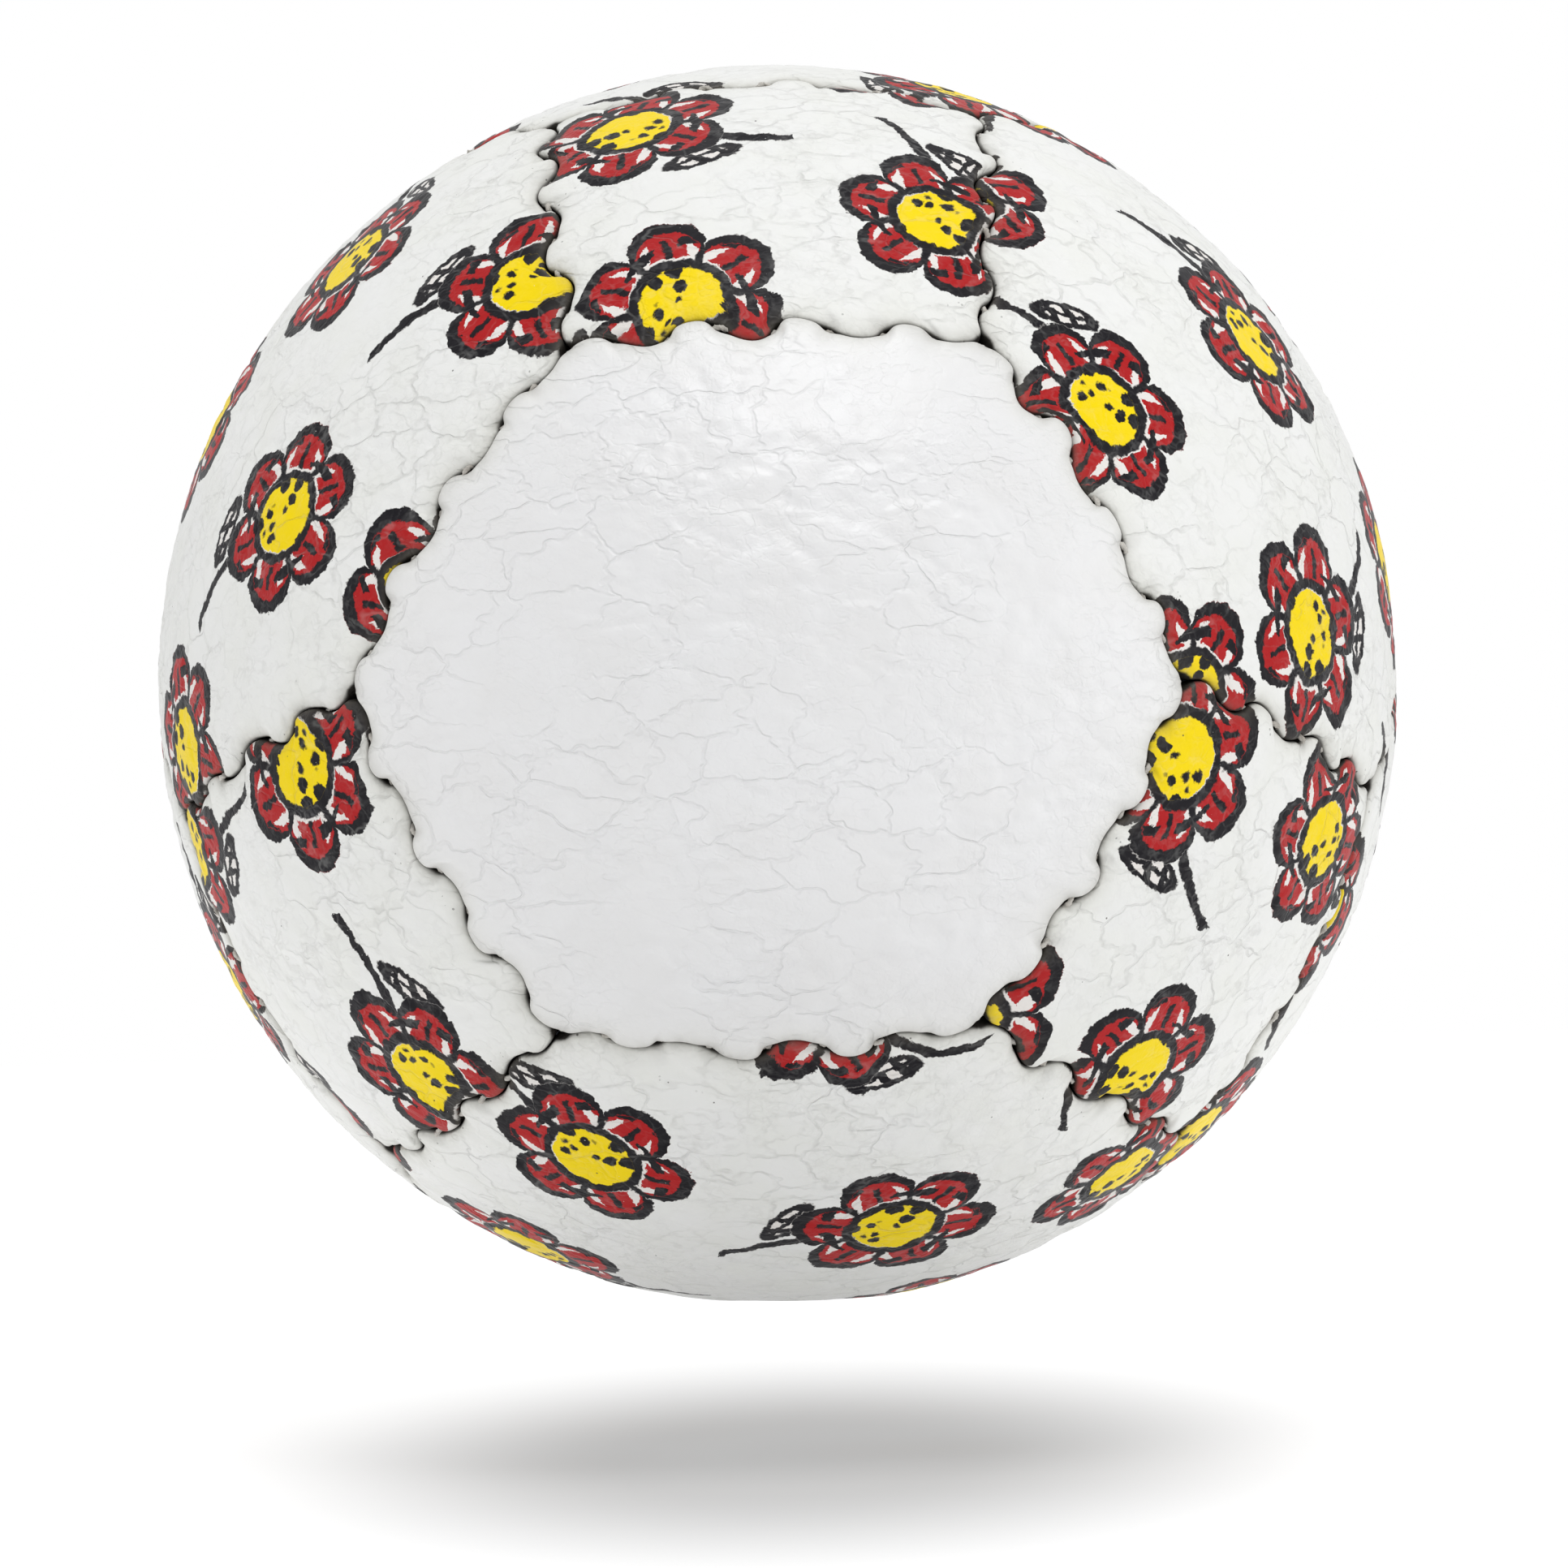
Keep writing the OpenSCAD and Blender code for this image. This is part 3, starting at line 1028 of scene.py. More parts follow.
@dataclass
class SeamThreads:
    """The ladder stitch: one thread along each of the thirty-six seams."""

    sizes: BallSizes
    sewing: HandSewing
    thickness: float = 0.3
    depth: float = 1.0
    notch_depth: float = 0.62
    fray_rise: float = 0.4
    swing: float = 0.95
    twist: float = 1.1
    plies: float = 3.0
    ply_groove: float = 0.16
    fray_patch: float = 2.1
    fray_edge: float = 0.16
    hair_length: float = 0.95
    hair_lean: float = 1.3
    hair_bend: float = 0.35
    hair_radii: tuple[float, float] = (0.018, 0.045)
    hair_least: float = 0.35
    hair_gaps: float = 0.1
    steps: int = 256
    seed: int = 11
    seed_step: int = 20

    def tree(self) -> bpy.types.NodeTree:
        """The geometry tree that lays a plied thread along a seam's line."""
        s = self.sizes
        own = ("thickness", "depth", "notch_depth", "fray_rise", "swing", "twist", "hair_length")
        sizes = inputs_of(s, "ball_radius", "centre_height", *s.SEWN)
        board = Board.for_mesh("ladder_stitch", {**sizes, **inputs_of(self, *own, "seed")})
        t = board.takes
        position = board.here()
        wave = SeamWave.on(board, position, s)
        swing = (board.read("along") * t["Scallops"] * TURN).wave()
        side = wave["Normal"] * (swing * t["Swing"] * -1.0)
        out = (position + wave["Shift"] + wave["Drift"] + side).unit()
        frayed = board.noise(position, self.fray_patch).ramp(0.0, self.fray_edge)
        deep = board.blend(wave["Notch"], t["Depth"], t["Notch Depth"] - frayed * t["Fray Rise"])
        path = out * (t["Ball Radius"] - deep) + board.join(0.0, 0.0, t["Centre Height"])
        line = board.moved(t["Geometry"], path)
        torn = wave["Notch"].over(0.25) * frayed.over(0.5)
        yarn, hairs = self.yarn(board, line), self.hairs(board, line, out, torn)
        return board.finish_mesh(board.joined(yarn, hairs))

    def yarn(self, board: Board, line: Wire) -> Wire:
        """The twisted plies along a thread's line, as a mesh."""
        t = board.takes
        curve = board.made("GeometryNodeMeshToCurve", {"Mesh": line})
        length = board.out(board.add("GeometryNodeSplineParameter"), "Length")
        tilt = length * (TURN / MM) / t["Twist"]
        curve = board.made("GeometryNodeSetCurveTilt", {"Curve": curve, "Tilt": tilt})
        ring = board.made("GeometryNodeCurvePrimitiveCircle", {"Resolution": 12, "Radius": 1.0})
        rim = board.here()
        x, y, _ = rim.parts()
        lobes = (board.math("ARCTAN2", y, x) * self.plies).wave("COSINE") * self.ply_groove
        lobes = lobes + (1.0 - self.ply_groove / 2)
        takes = {"Geometry": ring, "Position": rim * (lobes * t["Thickness"] * (0.5 * MM))}
        ring = board.made("GeometryNodeSetPosition", takes)
        takes = {"Curve": curve, "Profile Curve": ring, "Fill Caps": True}
        return board.made("GeometryNodeCurveToMesh", takes)

    def hairs(self, board: Board, line: Wire, out: Wire, torn: Wire) -> Wire:
        """The loose fibres of a frayed thread.

        Args:
            board: The thread's tree.
            line: The line of points that they grow from.
            out: Their direction before they lean.
            torn: Where the thread is frayed.

        Returns:
            The fibres, as instances.
        """
        t = board.takes
        tip, root = self.hair_radii
        takes = {"Vertices": 3, "Side Segments": 3, "Depth": MM}
        takes |= {"Radius Top": tip * MM, "Radius Bottom": root * MM}
        hair = board.made("GeometryNodeMeshCone", takes)
        height = board.here().parts()[2] / MM
        bend = board.join(height * height * (self.hair_bend * MM), 0.0)
        hair = board.made("GeometryNodeSetPosition", {"Geometry": hair, "Offset": bend})
        low, high = (-self.hair_lean, -self.hair_lean, 0.0), (self.hair_lean, self.hair_lean, TURN)
        lean = board.random(low, high, t["Seed"])
        stand = board.made("FunctionNodeAlignRotationToVector", {"Vector": out}, axis="Z")
        spin = board.made("FunctionNodeEulerToRotation", {"Euler": lean})
        takes = {"Rotation": stand, "Rotate By": spin}
        turned = board.made("FunctionNodeRotateRotation", takes, rotation_space="LOCAL")
        grown = board.random(self.hair_least, 1.0, t["Seed"] + 5.0)
        chosen = board.random(0.0, 1.0, t["Seed"] + 9.0).over(self.hair_gaps)
        takes = {
            "Points": line,
            "Selection": torn * chosen,
            "Instance": hair,
            "Rotation": turned,
            "Scale": board.join(1.0, 1.0, grown * t["Hair Length"]),
        }
        return board.made("GeometryNodeInstanceOnPoints", takes)

    def build(self, material: bpy.types.Material, slot: str) -> Iterator[bpy.types.Object]:
        """Makes the threads.

        Args:
            material: Their material.
            slot: Not used.

        Yields:
            Each thread's object.
        """
        tree = self.tree()
        along = np.linspace(0, 1, self.steps + 1)
        seams = [(a, b) for a, b in combinations(PANELS, 2) if a.meets(b)]
        for number, (a, b) in enumerate(seams):
            outline = Outline(a, self.sizes)
            edge = outline.near.index(b)
            ends = outline.corners[edge], outline.corners[(edge + 1) % len(outline.near)]
            start, end = (corner / (corner @ outline.axes[2]) for corner in ends)
            ways = unit(start * (1 - along)[:, None] + end * along[:, None])
            inward = np.tile(outline.inward[edge], (len(ways), 1))
            edges = [(i, i + 1) for i in range(self.steps)]
            obj = new_object(f"seam_{a.label}_to_{b.label}", self.sewing.pulled(ways), edges=edges)
            tangent = np.cross(ways, inward)
            put_attributes(obj.data, {"along": along, "inward": inward, "tangent": tangent})
            formed(obj, tree, {"Material": material, "Seed": self.seed + self.seed_step * number})
            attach(obj, BODY)
            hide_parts(f"thread_{a.label}_to_{b.label}")
            yield obj


@dataclass
class InnerBag:
    """The woven bag that holds the fill back from the seams, sewn from gores."""

    sizes: BallSizes
    gores: int = 8
    seam_ridge: float = 0.09
    seam_width: float = 0.35
    gathers: int = 28
    neck: float = 0.985
    wrinkle: float = 0.05
    wrinkle_size: float = 7.0
    clearance: float = 0.05

    def crumpled(self, board: Board, out: Wire) -> Wire:
        """The radius of the bag's outer face, with its seams, gathered neck and wrinkles."""
        t = board.takes
        x, y, z = out.parts()
        turn = board.math("ARCTAN2", y, x)
        width = (x * x + y * y).power(0.5) * t["Radius"]
        gore = (turn * t["Gores"] * 0.5).wave().size() * width / t["Gores"]
        gore = gore.hump(self.seam_width)
        neck = (z - self.neck).ramp(-0.1, 0.02)
        pleat = (turn * t["Gathers"]).wave() * neck * 0.5
        wrinkle = board.noise(out * t["Radius"], self.wrinkle_size, 2.0)
        wrinkle = wrinkle * self.wrinkle - self.wrinkle
        return t["Radius"] - t["Seam Ridge"] * (1.4 - gore - pleat * 0.4) + wrinkle

    def wall(self, board: Board, inner: bool) -> Wire:
        """The inner or the outer face of the cloth, as a mesh."""
        t = board.takes
        takes = {"Radius": 1.0, "Subdivisions": 6 if inner else 7}
        ball = board.made("GeometryNodeMeshIcoSphere", takes)
        out = board.here()
        radius = t["Radius"] - t["Thickness"] if inner else self.crumpled(board, out)
        floor = t["Floor"] + t["Thickness"] if inner else t["Floor"]
        x, y, z = (out * radius).parts()
        z = board.math("SMOOTH_MAX", z + t["Centre Height"], floor, 0.02)
        mesh = board.moved(ball, board.join(x, y, z))
        return board.made("GeometryNodeFlipFaces", {"Mesh": mesh}) if inner else mesh

    def tree(self) -> bpy.types.NodeTree:
        """The geometry tree that makes the bag's two faces."""
        s = self.sizes
        takes = {
            "Radius": s.bag_radius,
            "Thickness": s.bag_thickness,
            "Floor": s.leather + self.clearance,
            **inputs_of(s, "centre_height"),
            **inputs_of(self, "gores", "seam_ridge", "gathers"),
        }
        board = Board.for_mesh("woven_bag", takes)
        return board.finish_mesh(board.joined(self.wall(board, True), self.wall(board, False)))

    def build(self, material: bpy.types.Material, slot: str) -> bpy.types.Object:
        """Makes the bag in a material, and returns its object. The slot is not used."""
        obj = new_object("woven_inner_bag", np.zeros((0, 3)))
        formed(obj, self.tree(), {"Material": material})
        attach(obj, BODY)
        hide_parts("inner_bag")
        return obj


@dataclass
class GranuleFill:
    """The fill: rubber crumbs packed on a core, which stands for those further in."""

    sizes: BallSizes
    crumb: float = 1.5
    crumbs_to_a_square: float = 0.55
    least: tuple[float, float, float] = (0.7, 0.55, 0.7)
    most: tuple[float, float, float] = (1.15, 1.0, 1.15)
    sunk: float = 0.85
    clearance: float = 0.1
    seed: int = 3

    def tree(self) -> bpy.types.NodeTree:
        """The geometry tree that packs crumbs all over a core."""
        s = self.sizes
        takes = {
            "Radius": s.fill_radius,
            "Floor": s.leather + s.bag_thickness + self.clearance,
            **inputs_of(s, "centre_height"),
            **inputs_of(self, "crumb", "crumbs_to_a_square", "seed"),
        }
        board = Board.for_mesh("granule_fill", takes)
        t = board.takes
        takes = {"Radius": t["Radius"] - t["Crumb"] * self.sunk, "Subdivisions": 5}
        core = board.made("GeometryNodeMeshIcoSphere", takes)
        takes = {"Mesh": core, "Density": t["Crumbs To A Square"], "Seed": t["Seed"]}
        points = board.made("GeometryNodeDistributePointsOnFaces", takes)
        takes = {"Radius": t["Crumb"] * 0.5, "Subdivisions": 1}
        crumb = board.made("GeometryNodeMeshIcoSphere", takes)
        turned = board.random(ORIGIN, (TURN, TURN, TURN), t["Seed"])
        grown = board.random(self.least, self.most, t["Seed"] + 1.0)
        takes = {"Points": points, "Instance": crumb, "Rotation": turned, "Scale": grown}
        crumbs = board.made("GeometryNodeInstanceOnPoints", takes)
        mesh = board.made("GeometryNodeRealizeInstances", {"Geometry": board.joined(core, crumbs)})
        x, y, z = board.here().parts()
        z = (z + t["Centre Height"]).most(t["Floor"])
        return board.finish_mesh(board.moved(mesh, board.join(x, y, z)))

    def build(self, material: bpy.types.Material, slot: str) -> bpy.types.Object:
        """Makes the fill in a material, and returns its object. The slot is not used."""
        obj = new_object("granules_packed", np.zeros((0, 3)))
        formed(obj, self.tree(), {"Material": material})
        obj.data.shade_flat()
        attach(obj, BODY)
        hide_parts("granule_fill")
        return obj


class CreaseNetwork:
    """Creases, wrinkles and hairlines in the finish of the leather, and the dirt in them."""

    # The widths of creases and wrinkles, in cells
    WIDTHS = (0.055, 0.11)
    # Tiny wrinkles: the cells that they bound, their width in cells, and the size of the patches
    # that they keep to
    TINY_CELL = 0.75
    TINY_WIDTH = 0.14
    TINY_PATCH = 4.0
    # Lone hairlines, where a slow noise is about 0: its size, how near 0, and their patches' size
    HAIRLINE_BEND = 2.6
    HAIRLINE_WIDTH = 0.06
    HAIRLINE_PATCH = 6.0
    # The height of the tiny wrinkles beside the larger ones, and the dirt in both beside that in
    # the creases
    TINY_HEIGHT = 0.6
    WRINKLE_DIRT = 0.7
    TINY_DIRT = 0.4
    # The size of the gaps in the dirt, and how much of it stays in them
    DIRT_GAP = 0.7
    DIRT_LEFT = 0.2

    @classmethod
    @cache
    def group(cls) -> bpy.types.NodeTree:
        """The shader group, which is built once."""
        board = Board.group(
            "crease_network",
            {"Place": ORIGIN, "Depth": 0.03, "Fine Depth": 0.012},
            {"Lines": Kind.NUMBER, "Height": Kind.NUMBER},
        )
        t = board.takes
        place = t["Place"]
        # Each pattern is read aside of the others, so that they do not fall together
        lines, fine = LeatherCreases.both(board, place, *cls.WIDTHS)
        tiny = LeatherCreases.lines(board, place, cls.TINY_CELL, cls.TINY_WIDTH, 80.0)
        tiny = tiny * board.noise(place + (9.0, 3.0, 1.0), cls.TINY_PATCH).ramp(-0.35, 0.4)
        wander = board.noise(place + (70.0, 0.0, 0.0), cls.HAIRLINE_BEND, 3.0, 0.6)
        wander = wander.size().ramp(0.0, cls.HAIRLINE_WIDTH, 1.0, 0.0)
        patch = board.noise(place + (0.0, 50.0, 0.0), cls.HAIRLINE_PATCH)
        fine = fine.most(wander * patch.ramp(-0.2, 0.3))
        height = lines * t["Depth"] + (fine + tiny * cls.TINY_HEIGHT) * t["Fine Depth"]
        broken = board.noise(place + (0.0, 0.0, 60.0), cls.DIRT_GAP, 2.0).ramp(-0.15, 0.3)
        broken = broken * (1.0 - cls.DIRT_LEFT) + cls.DIRT_LEFT
        soiled = lines.most(fine * cls.WRINKLE_DIRT).most(tiny * cls.TINY_DIRT) * broken
        return board.give(Lines=soiled, Height=-height)


class PoreGrain:
    """The pores of a hide or the grain of a moulded crumb."""

    # How far from a pore's middle its slope reaches, in cells, and the size of the clouds
    SLOPE = 0.7
    CLOUD = 3.0

    @classmethod
    @cache
    def group(cls) -> bpy.types.NodeTree:
        """The shader group, which is built once."""
        board = Board.group(
            "pore_grain",
            {"Place": ORIGIN, "Pore": 0.22, "Depth": 0.008},
            {"Height": Kind.NUMBER, "Cloud": Kind.NUMBER},
        )
        t = board.takes
        dots = board.cells(t["Place"] / t["Pore"], 1.0)[0]
        cloud = board.noise(t["Place"], cls.CLOUD, 3.0)
        return board.give(Height=dots.ramp(0.0, cls.SLOPE) * t["Depth"], Cloud=cloud)


class SeamDirtAndShade:
    """Dirt and painted shade in the seams and at the stitches, and specks of dirt."""

    # The size of the clouds in which the dirt and painted shade are thicker
    CLOUD = 1.2
    # How far the dirt and painted shade reach from a seam, and how far and how thick from a stitch
    SEAM_REACH = 0.35
    STITCH_REACH = 0.45
    STITCH_SHARE = 0.6
    # Specks near a seam: how far from it, the cells with one each, and a radius in cells
    SPECK_REACH = 1.4
    SPECK_CELL = 0.42
    SPECK_RADIUS = 0.16
    # The same of lone specks, and the share of cells without one
    LONE_CELL = 1.5
    LONE_RADIUS = 0.035
    LONE_GAPS = 0.45

    @classmethod
    @cache
    def group(cls) -> bpy.types.NodeTree:
        """The shader group, which is built once."""
        board = Board.group(
            "seam_grime",
            {"Place": ORIGIN, "Distance": 0.0, "Notch": 0.0, "Specks": 0.8},
            {"Mask": Kind.NUMBER, "Speck": Kind.NUMBER},
        )
        t = board.takes
        cloud = board.noise(t["Place"], cls.CLOUD, 3.0, 0.65)
        # The mask is strong near a seam and full down its walls: dirt, and painted shade in the
        # seam's gap and at the stitch holes
        near = t["Distance"].fall(cls.SEAM_REACH) * (cloud * 0.9 + 0.7)
        stitch = t["Notch"] * t["Distance"].fall(cls.STITCH_REACH) * cls.STITCH_SHARE
        dot = board.cells(t["Place"], cls.SPECK_CELL)[0]
        speck = (cls.SPECK_RADIUS - dot).over(0.0) * cloud.over(0.2)
        speck = speck * t["Distance"].fall(cls.SPECK_REACH)
        lone, chance = board.cells(t["Place"] + (0.0, 7.0, 0.0), cls.LONE_CELL)[:2]
        lone = (cls.LONE_RADIUS - lone).over(0.0) * chance.parts()[0].over(cls.LONE_GAPS)
        mask = (near + stitch).least(1.0).most(0.0)
        return board.give(Mask=mask, Speck=speck.most(lone) * t["Specks"])


class Fibre:
    """Fine fibres of thread or cloth."""

    # The width of a fibre, how much narrower it is across, and the size of the paler patches
    WIDTH = 0.06
    SQUEEZE = (1.0, 1.0, 3.0)
    PATCH = 0.9

    @classmethod
    @cache
    def group(cls) -> bpy.types.NodeTree:
        """The shader group, which is built once."""
        board = Board.group(
            "fibre",
            {"Place": ORIGIN, "Depth": 0.01},
            {"Share": Kind.NUMBER, "Height": Kind.NUMBER},
        )
        t = board.takes
        hair = board.noise(t["Place"] * cls.SQUEEZE, cls.WIDTH, 2.0)
        patch = board.noise(t["Place"], cls.PATCH, 2.0)
        share = (hair * 0.5 + patch * 0.7 + 0.5).least(1.0).most(0.0)
        return board.give(Share=share, Height=hair * t["Depth"])


class PrintedFlowers:
    """A plain repeat of hand-inked flowers, each turned its own way and cut off at the seams."""

    # The printed sheet's side in mm, and how many panels are cut from it side by side
    SHEET = 216.0
    CUTS = 4
    # The repeat in mm, how far a row is set over from the one below, and a flower's scale
    CELL = 15.2
    SET_OVER = 0.13
    GROWTH = 1.32
    # How far each flower strays from its place, in mm, and how much narrower it can be
    STRAY = 2.0
    NARROWEST = 0.94
    NARROWING = 0.16
    # The wander of the ink's edges in mm, and the length over which they wander
    ROUGH = 0.42
    ROUGH_SIZE = 0.8
    # The size of the spots where ink is worn off, how much of it, and how much in the creases
    WORN_SIZE = 0.22
    WORN = 0.8
    CREASE_WEAR = 0.12
    # All below are in mm before the scale. The head is this far up on its stem
    HEAD_UP = 1.35
    # A head's petals, its rim's radius between them, and how far a petal stands out
    PETALS = 6
    RIM = 2.45
    PETAL = 1.35
    # The radii of the yellow middle, the dots in it and the ring round it, and where red starts
    MIDDLE = 1.7
    DOTTED = 1.6
    RING = 1.8
    RED_FROM = 2.0
    DOT_SPACING = 0.8
    # The radii between which the veins run
    VEINS = (2.1, 3.15)
    # Half the widths of the inked lines, where they start and end to fade
    OUTLINE_WIDTH = (0.25, 0.31)
    RING_WIDTH = (0.18, 0.25)
    STEM_WIDTH = (0.22, 0.3)
    # How far the reds and the yellow were laid down aside of the black
    SLIP_RIGHT = 0.13
    SLIP_DOWN = 0.1
    # The stem's bend, and how far under the motif's middle it starts and ends
    STEM_BEND = 0.085
    STEM_TOP = 1.0
    STEM_FOOT = 5.6
    # Where on the stem the leaf is, which way it points to the right and down, and how far out
    # its middle is
    LEAF_LEFT = 0.1
    LEAF_DOWN = 3.6
    LEAF_WAY = (0.8, 0.6)
    LEAF_OUT = 1.45
    BLACK = (0.008, 0.007, 0.01)
    RED = (0.42, 0.010, 0.012)
    YELLOW = (0.92, 0.69, 0.0)
    WHITE = (0.80, 0.77, 0.74)

    @classmethod
    def group(cls) -> bpy.types.NodeTree:
        """The shader group.

        Returns:
            The group, which takes a place on the printed sheet in mm and where the leather
            creases, and gives the ink's colour and where there is ink.
        """
        board = Board.group(
            "printed_flowers",
            {"Sheet Place": ORIGIN, "Creases": 0.0},
            {"Ink": Kind.COLOUR, "Cover": Kind.NUMBER},
        )
        sheet = board.takes["Sheet Place"]
        rough = board.noise(sheet, cls.ROUGH_SIZE, 5.0, 0.7, threefold=True) * cls.ROUGH
        sheet_x, sheet_y, _ = (sheet + rough).parts()
        row = board.math("FLOOR", sheet_y / cls.CELL)
        odd = board.math("PINGPONG", row, 1.0)
        across = sheet_x / cls.CELL + odd * 0.5 + row * cls.SET_OVER
        column = board.math("FLOOR", across)
        x = (board.math("FRACT", across) - 0.5) * cls.CELL
        y = (board.math("FRACT", sheet_y / cls.CELL) - 0.5) * cls.CELL
        dice = board.add("ShaderNodeTexWhiteNoise", {"Vector": board.join(column, row, 3.0)})
        first, second, third = board.out(dice, "Color").parts()
        # Each flower is moved, turned and squashed by its own chance
        x, y = x + (first - 0.5) * cls.STRAY, y + (second - 0.5) * cls.STRAY
        sine, cosine = (third * TURN).wave(), (third * TURN).wave("COSINE")
        x, y = x * cosine - y * sine, x * sine + y * cosine
        x = x * (second * cls.NARROWING + cls.NARROWEST)
        x, y = x / cls.GROWTH, y / cls.GROWTH
        cover, ink = cls.flower(board, x, y - cls.HEAD_UP, second)
        stem, leaf = cls.stem(x, y)
        ink = board.tint(stem * (1.0 - cover), ink, cls.BLACK)
        ink = board.tint(leaf * (1.0 - cover), ink, cls.WHITE)
        worn = 1.0 - board.noise(sheet, cls.WORN_SIZE, 2.0).ramp(0.5, 0.58) * cls.WORN
        worn = cover.most(stem) * worn
        cover = worn * (1.0 - board.takes["Creases"] * cls.CREASE_WEAR)
        return board.give(Ink=ink, Cover=cover)

    @classmethod
    def flower(cls, board: Board, x: Wire, y: Wire, chance: Wire) -> tuple[Wire, Wire]:
        """A flower head of six petals round a dotted middle.

        Args:
            board: The tree.
            x: The place across, in mm from the flower's middle.
            y: The place up.
            chance: A number from 0 to 1 that differs from flower to flower.

        Returns:
            Where the flower has ink, and its colour.
        """
        far = (x * x + y * y).power(0.5)
        turn = board.math("ARCTAN2", y, x) + chance
        petals = turn * (cls.PETALS / 2)
        petal = petals.wave().size()
        rim = petal.power(0.55) * cls.PETAL + cls.RIM
        inside = rim - far
        outline = 1.0 - (far - rim).size().ramp(*cls.OUTLINE_WIDTH)
        # Veins along the petals, lines between the petals, and hatching beside the veins
        vein = petals.wave("COSINE").size() * far * 0.33
        start, end = cls.VEINS
        veins = (1.0 - vein.ramp(0.1, 0.17)) * far.over(start) * (end - far).over(0.0)
        parting = (1.0 - (petal * far * 0.33).ramp(0.12, 0.2)) * far.over(1.8) * inside.over(0.0)
        hatch = ((far * 4.5 + petals).wave() - 0.55).over(0.0) * (vein - 0.42).over(0.0)
        hatch = hatch * inside.over(0.3) * far.over(2.3)
        ring = 1.0 - (far - cls.RING).size().ramp(*cls.RING_WIDTH)
        slip_x, slip_y = x + cls.SLIP_RIGHT, y - cls.SLIP_DOWN
        slipped = (slip_x * slip_x + slip_y * slip_y).power(0.5)
        # Red, but for a streak left white on each side of a petal
        bare = (vein - 0.62).over(0.0) * (rim - 0.55 - far).over(0.0)
        red = slipped.over(cls.RED_FROM) * (rim - slipped).over(-0.12) * (1.0 - bare)
        dot = board.cells(board.join(x / cls.DOT_SPACING, y / cls.DOT_SPACING), 1.0)[0]
        dots = (1.0 - dot.ramp(0.39, 0.45)) * (cls.DOTTED - far).over(0.0)
        black = outline.most(veins).most(parting).most(ring).most(dots).most(hatch)
        ink = board.tint(red, cls.WHITE, cls.RED)
        ink = board.tint((cls.MIDDLE - slipped).over(0.0), ink, cls.YELLOW)
        ink = board.tint(black, ink, cls.BLACK)
        return inside.over(0.0).most(outline).most(red), ink

    @classmethod
    def stem(cls, x: Wire, y: Wire) -> tuple[Wire, Wire]:
        """A curved stem with one leaf.

        Args:
            x: The place across, in mm from the middle of the motif.
            y: The place up.

        Returns:
            Where the stem and leaf have ink, and where the leaf is left light inside.
        """
        below = y + cls.STEM_TOP
        line = (x - below * below * cls.STEM_BEND).size()
        stem = (1.0 - line.ramp(*cls.STEM_WIDTH)) * (-cls.STEM_TOP - y).over(0.0)
        stem = stem * (y + cls.STEM_FOOT).over(0.0)
        leaf_x, leaf_y = x + cls.LEAF_LEFT, y + cls.LEAF_DOWN
        right, down = cls.LEAF_WAY
        along = leaf_x * right - leaf_y * down + cls.LEAF_OUT
        side = leaf_x * down + leaf_y * right
        leaf = (along * along * 0.55 + side * side * 3.6).power(0.5)
        hollow = (1.0 - leaf.ramp(0.7, 0.8)) * side.size().over(0.1)
        hollow = hollow * (along * 7.0 + side * 4.0).wave().over(-0.3)
        return stem.most(1.0 - leaf.ramp(1.15, 1.25)), hollow


class Surface(Board):
    """A material with a Principled shader, being wired up."""

    def __init__(self, name: str) -> None:
        """Args: name: The material's name."""
        self.material = bpy.data.materials.new(name)
        self.material.use_nodes = True
        super().__init__(self.material.node_tree)
        self.shader = self.own("BSDF_PRINCIPLED")
        # The place on the ball in mm, which stays with the piece as it moves
        self.spot = self.out(self.add("ShaderNodeTexCoord"), "Object") * (1 / MM)

    def dressed(self, looks: dict[str, object], height: Wire | None = None) -> bpy.types.Material:
        """Feeds the shader.

        Args:
            looks: What goes into its sockets, by name.
            height: The relief, in mm.

        Returns:
            The material.
        """
        for name, value in looks.items():
            self.feed(self.shader.inputs[name], value)
        if height is not None:
            takes = {"Height": height, "Strength": 1.0, "Distance": MM}
            self.feed(self.shader.inputs["Normal"], self.made("ShaderNodeBump", takes))
        return self.material


